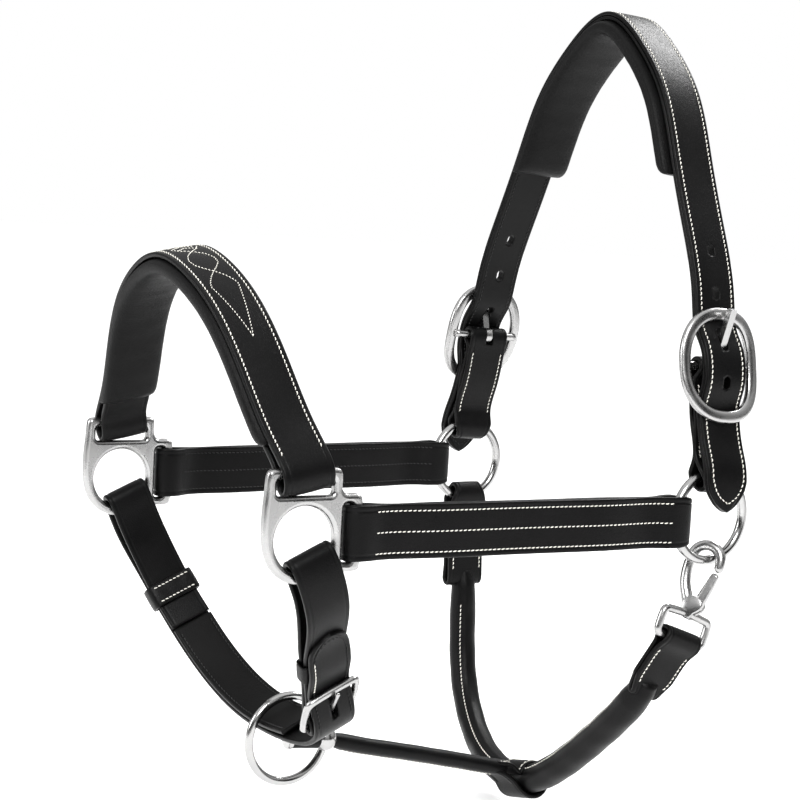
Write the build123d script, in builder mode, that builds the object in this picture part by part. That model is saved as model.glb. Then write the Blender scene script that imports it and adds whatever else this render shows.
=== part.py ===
"""Full-size leather headcollar with steel fittings, in millimetres.

+Z is up, the nose points to -X and the near side is -Y. The origin is the underside of the
poll pad at the top of the crown, where the headcollar rests on the horse's poll.
"""

from build123d import *
from math import cos, radians, sin, tan
import os

os.makedirs("parts", exist_ok=True)

# Driving dimensions
strap_w = 25.4
crown_t = 4.6
poll_pad_w = 34
poll_pad_t = 8.6
poll_pad_end = -72
wire_d = 5.0
jaw_ring_r = 22.0
jaw_ring_x = -14.0
jaw_ring_y = 108.0
jaw_ring_z = -243.0
square_x = -242.0
square_y = 98.0
square_z = -246.5
square_t = 5.0
chin_ring_r = 22.0
chin_wire_d = 4.4
chin_w = 23.0
roll_d = 14.0


def away(origin, along, across, s, n):
    """Point s along and n across from an origin, in a profile plane."""
    return (origin[0] + s * along[0] + n * across[0], origin[1] + s * along[1] + n * across[1])


# Crown: one arch lying in a plane that leans slightly forward towards the jaw rings
crown_lean = 2.62
crown_up = (sin(radians(crown_lean)), 0, cos(radians(crown_lean)))
crown_plane = Plane(origin=(-2.9, 0, 0), x_dir=(0, 1, 0), z_dir=(crown_up[2], 0, -crown_up[0]))
ring_top = (jaw_ring_y, jaw_ring_z + jaw_ring_r)

# Billets and buckles stand at this angle between the jaw rings and the crown
billet_lean = 12
chape_n = -3.4
billet_s = (-sin(radians(billet_lean)), cos(radians(billet_lean)))
billet_n = (cos(radians(billet_lean)), sin(radians(billet_lean)))
bar = away(ring_top, billet_s, billet_n, 53, -chape_n)
bar_d = 4.6


def side(s, n):
    """Point s up the billet from the buckle bar and n outwards from it."""
    return away(bar, billet_s, billet_n, s, n)


crown_half = [(29.5, -5.2), (52.1, -31.6), (66.9, -65.1), (80.9, -98.1), (93.4, -131)]
crown_half += [side(25.5, 1.1), side(20, 1.6), side(9, 6), side(-1, 7.4), side(-10.5, 5.9)]
crown_half += [side(-20, 1.7), side(-25.5, 1.4), side(-40, 2.8), side(-52, 6.4), side(-74, 6.4)]
crown_points = [(-y, h) for y, h in reversed(crown_half)] + [(0, 10.9)] + crown_half
with BuildLine() as crown_line:
    Spline(crown_points)

# Buckle: a dished oval frame with a bar across its middle
buckle_w = 50
buckle_h = 58
rim_w = 6.5
rim_t = 4.5
rim_mid = buckle_h / 2 - rim_w / 2
rim_rise = 2.8
dish = 6.2
dish_r = (rim_mid**2 + dish**2) / (2 * dish)
tongue_t = 3.6
tongue_lean = 28.6
tongue_play = 6.0
hole_pitch = 22.5

crown_x = crown_plane.z_dir
side_n = crown_plane.x_dir * billet_n[0] + crown_plane.y_dir * billet_n[1]
buckle_plane = Plane(origin=crown_plane.from_local_coords(bar), x_dir=-crown_x, z_dir=side_n)
billet_plane = Plane(origin=buckle_plane.origin, x_dir=buckle_plane.y_dir, z_dir=-crown_x)


def tongue_way(length, width, lean, swing):
    """Corners of the sector that a tongue sweeps, starting at its bar."""
    low = radians(lean)
    high = radians(lean + swing)
    return [
        (width / 2 * sin(low), -width / 2 * cos(low)),
        (length * cos(low) + width / 2 * sin(low), length * sin(low) - width / 2 * cos(low)),
        (length * cos(high) - width / 2 * sin(high), length * sin(high) + width / 2 * cos(high)),
        (-width / 2 * sin(high), width / 2 * cos(high)),
    ]


with BuildPart() as tongue_slot:
    with BuildSketch(billet_plane):
        with BuildLine():
            Polyline(tongue_way(26, tongue_t + 0.8, tongue_lean, tongue_play + 1), close=True)
        make_face()
    extrude(amount=2.4, both=True)

with BuildPart() as strap_holes:
    with BuildSketch(buckle_plane.offset(-6)):
        with Locations([(0, 14 + row * hole_pitch) for row in (-1, 1, 2)]):
            SlotOverall(6.5, 4.4, rotation=90)
    extrude(amount=16)

with BuildPart() as tail_point:
    with BuildSketch(buckle_plane):
        with Locations((0, -66)):
            Rectangle(2 * strap_w, 20)
        with BuildLine():
            Line((-strap_w / 2, -50), (-strap_w / 2, -58))
            ThreePointArc((-strap_w / 2, -58), (-9, -66), (0, -73))
            ThreePointArc((0, -73), (9, -66), (strap_w / 2, -58))
            Line((strap_w / 2, -58), (strap_w / 2, -50))
            Line((strap_w / 2, -50), (-strap_w / 2, -50))
        make_face(mode=Mode.SUBTRACT)
    extrude(amount=20, both=True)

# The line under the crown, closed from tail to tail, parts the outer strap from its lining
with BuildPart() as inside_crown:
    with BuildSketch(crown_plane):
        with BuildLine():
            add(crown_line.line)
            Line(crown_line.line @ 1, crown_line.line @ 0)
        make_face()
    extrude(amount=strap_w, both=True)

crown_cuts = [tongue_slot.part, strap_holes.part, tail_point.part]
crown_cuts += [cut.mirror(Plane.XZ) for cut in crown_cuts]

with BuildPart() as crown_strap:
    with BuildSketch(crown_plane):
        trace(crown_line.line, line_width=crown_t)
    extrude(amount=strap_w / 2, both=True)
    add(inside_crown.part, mode=Mode.SUBTRACT)
    add(crown_cuts, mode=Mode.SUBTRACT)
crown_strap.part.label = "crown_strap"
export_step(crown_strap.part, "parts/crown_strap.step")

with BuildPart() as crown_lining:
    with BuildSketch(crown_plane):
        trace(crown_line.line, line_width=crown_t)
    extrude(amount=strap_w / 2, both=True)
    add(inside_crown.part, mode=Mode.INTERSECT)
    add(crown_cuts, mode=Mode.SUBTRACT)
crown_lining.part.label = "crown_lining"
export_step(crown_lining.part, "parts/crown_lining.step")

with BuildPart() as poll_pad:
    with BuildSketch(crown_plane):
        trace(crown_line.line, line_width=crown_t + 2 * poll_pad_t)
        trace(crown_line.line, line_width=crown_t, mode=Mode.SUBTRACT)
        with BuildLine():
            add(crown_line.line)
            Line(crown_line.line @ 1, crown_line.line @ 0)
        make_face(mode=Mode.INTERSECT)
        with Locations((0, poll_pad_end)):
            Rectangle(400, 400, align=(Align.CENTER, Align.MAX), mode=Mode.SUBTRACT)
    extrude(amount=poll_pad_w / 2, both=True)
    fillet(poll_pad.faces().sort_by(Axis.X)[0].edges().sort_by(Axis.Z)[-1], 2)
poll_pad.part.label = "poll_pad"
export_step(poll_pad.part, "parts/poll_pad.step")

# Chapes: each folds round a buckle bar at the top and a jaw ring at the bottom
layer_t = 2.2
ring_sag = jaw_ring_r - (jaw_ring_r**2 - (strap_w / 2) ** 2) ** 0.5


with BuildPart() as far_chape:
    with BuildSketch(billet_plane):
        with Locations((-27.5, chape_n)):
            Rectangle(47, 2 * layer_t)
        Circle(bar_d / 2 + 0.3 + layer_t)
        with Locations((-53 - ring_sag / 2, chape_n)):
            SlotOverall(ring_sag + wire_d + 2 + 2 * layer_t, wire_d + 2 + 2 * layer_t)
            SlotOverall(ring_sag + wire_d + 2, wire_d + 2, mode=Mode.SUBTRACT)
        Circle(bar_d / 2 + 0.3, mode=Mode.SUBTRACT)
    extrude(amount=strap_w / 2, both=True)
    with BuildSketch(billet_plane):
        with Locations((0.5, 0)):
            Rectangle(12.5, 12)
    extrude(amount=2.6, both=True, mode=Mode.SUBTRACT)
    with BuildSketch(buckle_plane):
        with Locations([(e * strap_w / 2, -53 - ring_sag - wire_d / 2 - 2.8) for e in (-1, 1)]):
            Rectangle(9, 9, rotation=45)
    extrude(amount=12, both=True, mode=Mode.SUBTRACT)
far_chape.part.label = "far_chape"
export_step(far_chape.part, "parts/far_chape.step")

with BuildPart() as near_chape:
    mirror(far_chape.part, about=Plane.XZ)
near_chape.part.label = "near_chape"
export_step(near_chape.part, "parts/near_chape.step")

with BuildPart() as far_buckle_frame:
    with BuildSketch(buckle_plane.offset(-10)):
        RectangleRounded(buckle_w, buckle_h, 18.5)
        RectangleRounded(buckle_w - 2 * rim_w, buckle_h - 2 * rim_w, 12, mode=Mode.SUBTRACT)
    extrude(amount=40)
    with BuildSketch(billet_plane):
        with Locations((0, rim_rise + dish_r)):
            Circle(dish_r + rim_t / 2)
            Circle(dish_r - rim_t / 2, mode=Mode.SUBTRACT)
        with Locations((0, 20)):
            Rectangle(80, 50, mode=Mode.INTERSECT)
    extrude(amount=buckle_w, both=True, mode=Mode.INTERSECT)
    fillet(far_buckle_frame.edges(), 1.9)
    with BuildSketch(billet_plane):
        Circle(bar_d / 2)
    extrude(amount=buckle_w / 2 - rim_w / 3, both=True)
far_buckle_frame.part.label = "far_buckle_frame"
export_step(far_buckle_frame.part, "parts/far_buckle_frame.step")

with BuildPart() as near_buckle_frame:
    mirror(far_buckle_frame.part, about=Plane.XZ)
near_buckle_frame.part.label = "near_buckle_frame"
export_step(near_buckle_frame.part, "parts/near_buckle_frame.step")

# Buckle tongues: a loop round the bar and a pin that rests on the top rim
tongue_tip = 31
with BuildPart() as far_buckle_tongue:
    with BuildSketch(billet_plane):
        Circle(bar_d / 2 + 2.5)
        with BuildLine():
            PolarLine((0, 0), tongue_tip, tongue_lean)
        trace(line_width=tongue_t)
        Circle(bar_d / 2 + 0.25, mode=Mode.SUBTRACT)
    extrude(amount=1.9, both=True)
    fillet(far_buckle_tongue.edges().filter_by(GeomType.LINE).group_by(Axis.Z)[-1], 1.2)
far_buckle_tongue.part.label = "far_buckle_tongue"
export_step(far_buckle_tongue.part, "parts/far_buckle_tongue.step")

with BuildPart() as near_buckle_tongue:
    mirror(far_buckle_tongue.part, about=Plane.XZ)
near_buckle_tongue.part.label = "near_buckle_tongue"
export_step(near_buckle_tongue.part, "parts/near_buckle_tongue.step")

# Jaw rings, standing across the horse with their axes along Y
with BuildPart() as far_jaw_ring:
    with BuildSketch(Plane((jaw_ring_x, jaw_ring_y, jaw_ring_z))):
        with Locations((jaw_ring_r, 0)):
            Circle(wire_d / 2)
    revolve(axis=Axis((jaw_ring_x, jaw_ring_y, jaw_ring_z), (0, 1, 0)))
far_jaw_ring.part.label = "far_jaw_ring"
export_step(far_jaw_ring.part, "parts/far_jaw_ring.step")

with BuildPart() as near_jaw_ring:
    mirror(far_jaw_ring.part, about=Plane.XZ)
near_jaw_ring.part.label = "near_jaw_ring"
export_step(near_jaw_ring.part, "parts/near_jaw_ring.step")

# Halter squares: a round eye with a noseband slot above and a cheek slot behind
eye_r = 15
rim_r = 20
top_bar_z = -217.1
cheek_bar_x = -215.0
cheek_z = -244.25
with BuildPart() as far_halter_square:
    with BuildSketch(Plane((0, square_y, 0), x_dir=(1, 0, 0), z_dir=(0, -1, 0))):
        with Locations((square_x, square_z)):
            Circle(rim_r)
        with Locations((square_x - 0.5, -227.8)):
            Rectangle(37, 26.4)
        with Locations((-225, cheek_z)):
            RectangleRounded(26, 35, 5)
        with Locations((square_x, square_z)):
            Circle(eye_r, mode=Mode.SUBTRACT)
        with Locations((square_x - 0.5, -224)):
            RectangleRounded(29, 8.8, 1.5, mode=Mode.SUBTRACT)
        with Locations((-221, cheek_z)):
            RectangleRounded(6, 27, 1.5, mode=Mode.SUBTRACT)
    extrude(amount=square_t / 2, both=True)
    fillet(far_halter_square.edges(), 1.2)
far_halter_square.part.label = "far_halter_square"
export_step(far_halter_square.part, "parts/far_halter_square.step")

with BuildPart() as near_halter_square:
    mirror(far_halter_square.part, about=Plane.XZ)
near_halter_square.part.label = "near_halter_square"
export_step(near_halter_square.part, "parts/near_halter_square.step")

# Cheekpieces: folded straps from the squares' rear bars to the jaw rings
cheek_t = 6.0
fold_t = 2.6
ring_front = jaw_ring_x - jaw_ring_r
with BuildPart() as far_cheekpiece:
    with BuildSketch(Plane.XY.offset(cheek_z)):
        with BuildLine():
            Spline((cheek_bar_x + 5, square_y + 0.2), (-150, 103), (ring_front - 5, jaw_ring_y))
        trace(line_width=cheek_t)
        with Locations((cheek_bar_x, square_y)):
            RectangleRounded(6.8 + 2 * fold_t, 5.8 + 2 * fold_t, 5)
            RectangleRounded(6.8, 5.8, 2.4, mode=Mode.SUBTRACT)
        with Locations((ring_front + ring_sag / 2, jaw_ring_y)):
            SlotOverall(ring_sag + wire_d + 1.2 + 2 * fold_t, wire_d + 1.2 + 2 * fold_t)
            SlotOverall(ring_sag + wire_d + 1.2, wire_d + 1.2, mode=Mode.SUBTRACT)
    extrude(amount=strap_w / 2, both=True)
    with BuildSketch(Plane.XZ):
        loop_end = ring_front + ring_sag + wire_d / 2 + 3.2
        with Locations([(loop_end, cheek_z + e * strap_w / 2) for e in (-1, 1)]):
            Rectangle(9, 9, rotation=45)
    extrude(amount=-150, mode=Mode.SUBTRACT)
far_cheekpiece.part.label = "far_cheekpiece"
export_step(far_cheekpiece.part, "parts/far_cheekpiece.step")

with BuildPart() as near_cheekpiece:
    mirror(far_cheekpiece.part, about=Plane.XZ)
near_cheekpiece.part.label = "near_cheekpiece"
export_step(near_cheekpiece.part, "parts/near_cheekpiece.step")

# Noseband: an arch leaning forward from the squares' top bars
nose_lean = 10.8
nose_t = 3.6
nose_pad_t = 8.4
nose_fold_t = 2.4
nose_pad_w = 30
nose_up = (-sin(radians(nose_lean)), 0, cos(radians(nose_lean)))
nose_plane = Plane(
    origin=(square_x - 0.5, 0, top_bar_z), x_dir=(0, 1, 0), z_dir=(nose_up[2], 0, -nose_up[0])
)
nose_half = [(27.8, 87.6), (52.8, 70.5), (71.5, 45.8), (88, 20), (99.4, 4.5)]
nose_points = [(-y, v) for y, v in reversed(nose_half)] + [(0, 94.7)] + nose_half
with BuildLine() as nose_line:
    Spline(nose_points)

with BuildPart() as noseband_strap:
    with BuildSketch(nose_plane):
        trace(nose_line.line, line_width=nose_t)
        with Locations((-square_y, 0), (square_y, 0)):
            SlotOverall(11.4 + 2 * nose_fold_t, 6 + 2 * nose_fold_t, rotation=90)
            SlotOverall(11.4, 6, rotation=90, mode=Mode.SUBTRACT)
    extrude(amount=strap_w / 2, both=True)
noseband_strap.part.label = "noseband_strap"
export_step(noseband_strap.part, "parts/noseband_strap.step")

with BuildPart() as noseband_pad:
    with BuildSketch(nose_plane):
        trace(nose_line.line, line_width=nose_t + 2 * nose_pad_t)
        trace(nose_line.line, line_width=nose_t, mode=Mode.SUBTRACT)
        with BuildLine():
            add(nose_line.line)
            Line(nose_line.line @ 1, nose_line.line @ 0)
        make_face(mode=Mode.INTERSECT)
        with Locations((0, 13)):
            Rectangle(400, 400, align=(Align.CENTER, Align.MAX), mode=Mode.SUBTRACT)
    extrude(amount=nose_pad_w / 2, both=True)
noseband_pad.part.label = "noseband_pad"
export_step(noseband_pad.part, "parts/noseband_pad.step")

# Chin straps hang in a plane through the squares' eyes that leans back towards the jaw
chin_lean = 24
chin_down = (sin(radians(chin_lean)), 0, -cos(radians(chin_lean)))
chin_plane = Plane(
    origin=(square_x, 0, square_z), x_dir=(0, 1, 0), z_dir=(chin_down[2], 0, -chin_down[0])
)
chin_t = 2.6
eye_sag = eye_r - (eye_r**2 - (chin_w / 2) ** 2) ** 0.5
eye_top = eye_r - eye_sag + 1.6
eye_side = square_t / 2 + 0.5 + chin_t / 2

# The chin buckle: its bar, and the way up the near side from it
chin_bar = (-57, 103)
chin_s = (-0.4753, -0.8798)
chin_n = (-0.8798, 0.4753)
chin_bar_d = 3.2


def near(s, n):
    """Point s up the near side from the chin buckle's bar and n outwards from it."""
    return away(chin_bar, chin_s, chin_n, s, n)


chin_buckle_h = 25
chin_frame_lean = 13.3
chin_tongue_lean = 21
chin_tongue_t = 2.6
chin_side = chin_plane.x_dir * chin_n[0] + chin_plane.y_dir * chin_n[1]
chin_rise = chin_plane.x_dir * chin_s[0] + chin_plane.y_dir * chin_s[1]
chin_bar_3d = chin_plane.from_local_coords(chin_bar)
chin_bar_plane = Plane(origin=chin_bar_3d, x_dir=chin_rise, z_dir=chin_rise.cross(chin_side))
chin_frame_n = chin_side.rotate(Axis((0, 0, 0), chin_bar_plane.z_dir), chin_frame_lean)
chin_frame_plane = Plane(origin=chin_bar_3d, x_dir=chin_bar_plane.z_dir, z_dir=chin_frame_n)

with BuildLine() as chin_line:
    Spline(
        near(64, 5.4),
        near(52, 4.2),
        near(39.5, 4.7),
        near(25, 2.6),
        near(12, 5.4),
        near(0, 6.1),
        near(-7, 3),
        (-38, 117),
        (0, 120.5),
        (20, 119.2),
        (42, 112),
        (66, 92.5),
        (82.5, 68),
        (93.6, 47),
        (101.6, 28),
        tangents=[(0.55, 0.83), (0.1, -0.995)],
    )
    Spline((101.6, 28), (square_y + eye_side, eye_top), tangents=[(0.1, -0.995), (0, -1)])
with BuildLine() as chin_end_line:
    ThreePointArc(
        (square_y + eye_side, eye_top),
        (square_y, eye_top - eye_side),
        (square_y - eye_side, eye_top),
    )
    Spline(
        (square_y - eye_side, eye_top),
        (92.6, 27),
        (88.2, 46),
        (82, 62.5),
        (73.6, 76.5),
        tangents=[(0, 1), (-0.55, 0.83)],
    )

with BuildPart() as chin_tongue_slot:
    with BuildSketch(chin_bar_plane):
        with BuildLine():
            Polyline(tongue_way(24, chin_tongue_t + 0.8, chin_tongue_lean, 7), close=True)
        make_face()
    extrude(amount=1.9, both=True)

with BuildPart() as chin_strap:
    with BuildSketch(chin_plane):
        trace(chin_line.line, line_width=chin_t)
        trace(chin_end_line.line, line_width=chin_t)
    extrude(amount=chin_w / 2, both=True)
    add(chin_tongue_slot.part, mode=Mode.SUBTRACT)
    with BuildSketch(chin_frame_plane):
        with Locations((0, 63)):
            Rectangle(2 * chin_w, 16)
        with Locations((0, 56)):
            RectangleRounded(chin_w, 16, 7, mode=Mode.SUBTRACT)
    extrude(amount=30, both=True, mode=Mode.SUBTRACT)
chin_strap.part.label = "chin_strap"
export_step(chin_strap.part, "parts/chin_strap.step")

# The backing doubles the chin strap from below the far keeper to just past the chin ring
with BuildPart() as chin_strap_backing:
    with BuildSketch(chin_plane):
        with BuildLine():
            Spline((-25, 115.2), (0, 117.6), (18, 116.4), (40, 109.4), (63.5, 90.4), (70.5, 80.9))
        trace(line_width=chin_t)
    extrude(amount=chin_w / 2, both=True)
chin_strap_backing.part.label = "chin_strap_backing"
export_step(chin_strap_backing.part, "parts/chin_strap_backing.step")

far_keeper_plane = Plane(
    origin=chin_plane.from_local_coords((82.9, 64.2)),
    x_dir=chin_plane.z_dir,
    z_dir=chin_plane.x_dir * -0.5 + chin_plane.y_dir * 0.866,
)
with BuildPart() as far_chin_keeper:
    with BuildSketch(far_keeper_plane):
        RectangleRounded(chin_w + 4.2, 11.2, 2.4)
        Rectangle(chin_w + 0.6, 7.4, mode=Mode.SUBTRACT)
    extrude(amount=6, both=True)
far_chin_keeper.part.label = "far_chin_keeper"
export_step(far_chin_keeper.part, "parts/far_chin_keeper.step")

# Near billet: a folded strap from the square's rim to the chin buckle's bar
eye = (-square_y, eye_top)
below_rim = (-97.6, 28)
legs = [(eye, 5.5, below_rim, 5.2), (below_rim, 5.2, near(46, -1.45), 2.45)]
between_legs = [(eye, 3.1, below_rim, 3), (below_rim, 3, near(47, -1.45), 0.4)]
with BuildPart() as near_chin_billet:
    for start, start_r, end, end_r in legs:
        with BuildSketch(chin_plane):
            with Locations(start):
                Circle(start_r)
            with Locations(end):
                Circle(end_r)
            make_hull()
        extrude(amount=chin_w / 2, both=True)
    with BuildSketch(chin_plane):
        with BuildLine():
            Line(near(47, -1.45), near(0, -1.45))
        trace(line_width=4.7)
        with Locations(chin_bar):
            Circle(4.6)
    extrude(amount=chin_w / 2, both=True)
    for start, start_r, end, end_r in between_legs:
        with BuildSketch(chin_plane):
            with Locations(start):
                Circle(start_r)
            with Locations(end):
                Circle(end_r)
            make_hull()
        extrude(amount=chin_w, both=True, mode=Mode.SUBTRACT)
    with BuildSketch(chin_bar_plane):
        Circle(1.9)
    extrude(amount=chin_w, both=True, mode=Mode.SUBTRACT)
    with BuildSketch(chin_bar_plane):
        with Locations((4, 0)):
            Rectangle(21, 10)
    extrude(amount=2.3, both=True, mode=Mode.SUBTRACT)
near_chin_billet.part.label = "near_chin_billet"
export_step(near_chin_billet.part, "parts/near_chin_billet.step")

with BuildPart() as near_chin_keeper:
    with BuildSketch(chin_bar_plane):
        with Locations((39.5, -1.45)):
            Rectangle(11, 7.6)
    extrude(amount=chin_w / 2 + 2, both=True)
    with BuildSketch(chin_bar_plane):
        with Locations((39.5, -1.45)):
            Rectangle(12, 5.6)
    extrude(amount=chin_w / 2 + 0.3, both=True, mode=Mode.SUBTRACT)
near_chin_keeper.part.label = "near_chin_keeper"
export_step(near_chin_keeper.part, "parts/near_chin_keeper.step")

with BuildPart() as chin_buckle_frame:
    with BuildSketch(chin_frame_plane):
        with Locations((0, chin_buckle_h / 2)):
            RectangleRounded(chin_w + 1.8 + 2 * chin_bar_d, chin_buckle_h + chin_bar_d, 4)
            RectangleRounded(chin_w + 1.8, chin_buckle_h - chin_bar_d, 1.5, mode=Mode.SUBTRACT)
    extrude(amount=chin_bar_d / 2, both=True)
    fillet(chin_buckle_frame.edges(), 1.3)
chin_buckle_frame.part.label = "chin_buckle_frame"
export_step(chin_buckle_frame.part, "parts/chin_buckle_frame.step")

with BuildPart() as chin_buckle_tongue:
    with BuildSketch(chin_bar_plane):
        Circle(chin_bar_d / 2 + 2.1)
        with BuildLine():
            PolarLine((0, 0), 29, chin_tongue_lean)
        trace(line_width=chin_tongue_t)
        Circle(chin_bar_d / 2 + 0.25, mode=Mode.SUBTRACT)
    extrude(amount=1.5, both=True)
chin_buckle_tongue.part.label = "chin_buckle_tongue"
export_step(chin_buckle_tongue.part, "parts/chin_buckle_tongue.step")

# Chin ring, hanging on the chin strap with its axis along Y
chin_ring_at = chin_plane.from_local_coords((0, 132))
side_plane = Plane(chin_ring_at, x_dir=(1, 0, 0), z_dir=(0, -1, 0))
with BuildPart() as chin_ring:
    with BuildSketch(Plane(chin_ring_at)):
        with Locations((chin_ring_r, 0)):
            Circle(chin_wire_d / 2)
    revolve(axis=Axis(chin_ring_at, (0, 1, 0)))
chin_ring.part.label = "chin_ring"
export_step(chin_ring.part, "parts/chin_ring.step")

# Connector: a ball that slides on the chin ring, with a stub ahead of it and a strap behind
ball_r = 6.25
ball_angle = -6
ball_at = side_plane.from_local_coords(
    (chin_ring_r * cos(radians(ball_angle)), chin_ring_r * sin(radians(ball_angle)))
)
with BuildPart() as ring_ball:
    with Locations(ball_at):
        Sphere(ball_r)
    with BuildSketch(Plane(chin_ring_at)):
        with Locations((chin_ring_r, 0)):
            Circle(chin_wire_d / 2 + 0.35)
    revolve(axis=Axis(chin_ring_at, (0, 1, 0)), mode=Mode.SUBTRACT)
ring_ball.part.label = "ring_ball"
export_step(ring_ball.part, "parts/ring_ball.step")

stub_plane = Plane(origin=ball_at + Vector(-4.6, 0, 0.4), x_dir=(0, 1, 0), z_dir=(-0.995, 0, 0.1))
with BuildPart() as connector_stub:
    with BuildSketch(stub_plane):
        Circle(4.8)
    extrude(amount=16)
    with Locations(ball_at):
        Sphere(ball_r, mode=Mode.SUBTRACT)
connector_stub.part.label = "connector_stub"
export_step(connector_stub.part, "parts/connector_stub.step")

with BuildPart() as stub_cap:
    with BuildSketch(stub_plane.offset(16)):
        Circle(5.4)
    extrude(amount=2.2)
    fillet(stub_cap.faces().sort_by(Axis.X)[0].edges(), 1.4)
stub_cap.part.label = "stub_cap"
export_step(stub_cap.part, "parts/stub_cap.step")

# Rolled throat strap, from a flat tab on the far jaw ring to one on the near snap
ring_bottom = jaw_ring_z - jaw_ring_r
throat_w = 24.0
tab_t = 5.0
far_tab_end = (-12.5, 106, -312)
snap_lean = 20
snap_down = Vector(-sin(radians(snap_lean)), 0, -cos(radians(snap_lean)))
snap_across = Vector(cos(radians(snap_lean)), 0, -sin(radians(snap_lean)))
snap_at = Vector(jaw_ring_x, -jaw_ring_y, ring_bottom)
eye_bar_t = 42
eye_bar = snap_at + snap_down * eye_bar_t
tab_turn = radians(22)
tab_way = snap_down * cos(tab_turn) + Vector(0, 1, 0) * sin(tab_turn)
near_tab_l = 31
near_tab_end = eye_bar + tab_way * near_tab_l

roll_points = [Vector(far_tab_end), Vector(-12, 105, -336), Vector(-14, 97.5, -373)]
roll_points += [Vector(-22, 71, -399), Vector(-31, 36, -409.5), Vector(-36, 3, -408)]
roll_points += [Vector(-37.5, -30, -390.5), Vector(-38.7, -60, -365.5)]
roll_points += [near_tab_end + tab_way * 16, near_tab_end]


def bend_radii(points):
    """Largest arc at each inner corner that leaves its two runs a straight piece."""
    radii = []
    for before, at, after in zip(points, points[1:], points[2:]):
        run = min((at - before).length, (after - at).length)
        radii.append(0.45 * run / tan(radians((at - before).get_angle(after - at) / 2)))
    return radii


with BuildLine() as roll_line:
    FilletPolyline(roll_points, radius=bend_radii(roll_points))
roll_wire = roll_line.wires()[0]
with BuildPart() as throat_roll:
    with BuildSketch(Plane(origin=far_tab_end, x_dir=(1, 0, 0), z_dir=(0, 0, -1))):
        Circle(roll_d / 2)
    sweep(path=roll_wire)
throat_roll.part.label = "throat_roll"
export_step(throat_roll.part, "parts/throat_roll.step")

with BuildPart() as far_throat_tab:
    with BuildSketch(Plane(origin=(-13.2, 0, 0), x_dir=(0, 1, 0), z_dir=(1, 0, 0))):
        with BuildLine():
            Spline(
                (jaw_ring_y, ring_bottom - 4),
                (far_tab_end[1], far_tab_end[2]),
                tangents=[(0, -1), (0, -1)],
            )
        trace(line_width=tab_t)
        with Locations((jaw_ring_y, ring_bottom + ring_sag / 2)):
            SlotOverall(ring_sag + wire_d + 6.2, wire_d + 6.2, rotation=90)
            SlotOverall(ring_sag + wire_d + 1.2, wire_d + 1.2, rotation=90, mode=Mode.SUBTRACT)
    extrude(amount=throat_w / 2, both=True)
    with BuildSketch(Plane.XZ):
        loop_top = ring_bottom + ring_sag + wire_d / 2 + 3.1
        with Locations([(-13.2 + e * throat_w / 2, loop_top) for e in (-1, 1)]):
            Rectangle(9, 9, rotation=45)
    extrude(amount=-150, mode=Mode.SUBTRACT)
far_throat_tab.part.label = "far_throat_tab"
export_step(far_throat_tab.part, "parts/far_throat_tab.step")

with BuildPart() as near_throat_tab:
    with BuildSketch(Plane(origin=eye_bar, x_dir=tab_way, z_dir=snap_across)):
        with Locations((2, 0)):
            Rectangle(near_tab_l - 2, tab_t, align=(Align.MIN, Align.CENTER))
        Circle(5.3)
        Circle(2.9, mode=Mode.SUBTRACT)
    extrude(amount=throat_w / 2, both=True)
near_throat_tab.part.label = "near_throat_tab"
export_step(near_throat_tab.part, "parts/near_throat_tab.step")

# The connector's strap wraps round the throat strap and is stitched to itself
wrap_w = 22
wrap_gap = 1.6
wrap_t = 2.2
wrap_plane = Plane(origin=roll_wire @ 0.565, x_dir=(1, 0, 0), z_dir=roll_wire % 0.565)
strap_points = [ball_at + Vector(4, 0, -0.6), Vector(-124, 0.5, -379.5)]
strap_points += [Vector(-90, 1.4, -388), Vector(-60.5, 2.8, -396)]
with BuildPart() as connector_strap:
    with BuildSketch(wrap_plane):
        Circle(roll_d / 2 + wrap_gap + wrap_t)
        with Locations((-26, 8.6)):
            Circle(wrap_t)
        make_hull()
    extrude(amount=wrap_w / 2, both=True)
    with BuildSketch(wrap_plane):
        Circle(roll_d / 2 + wrap_gap)
        with Locations((-14, 4.6)):
            Circle(0.4)
        make_hull()
    extrude(amount=wrap_w, both=True, mode=Mode.SUBTRACT)
    with BuildSketch(Plane.XY.offset(-430)):
        with BuildLine():
            Polyline(
                (-20, -10),
                (-44, -10),
                (-63, -2.5),
                (-63, 7.5),
                (-44, 16),
                (-20, 16),
                close=True,
            )
        make_face()
    extrude(amount=60, mode=Mode.INTERSECT)
    with BuildLine() as strap_line:
        FilletPolyline(strap_points, radius=bend_radii(strap_points))
    with BuildSketch(Plane(origin=strap_line.line @ 0, z_dir=strap_line.line % 0)):
        Circle(4.2)
    sweep(path=strap_line.wires()[0])
    with Locations(ball_at):
        Sphere(ball_r, mode=Mode.SUBTRACT)
connector_strap.part.label = "connector_strap"
export_step(connector_strap.part, "parts/connector_strap.step")

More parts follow.
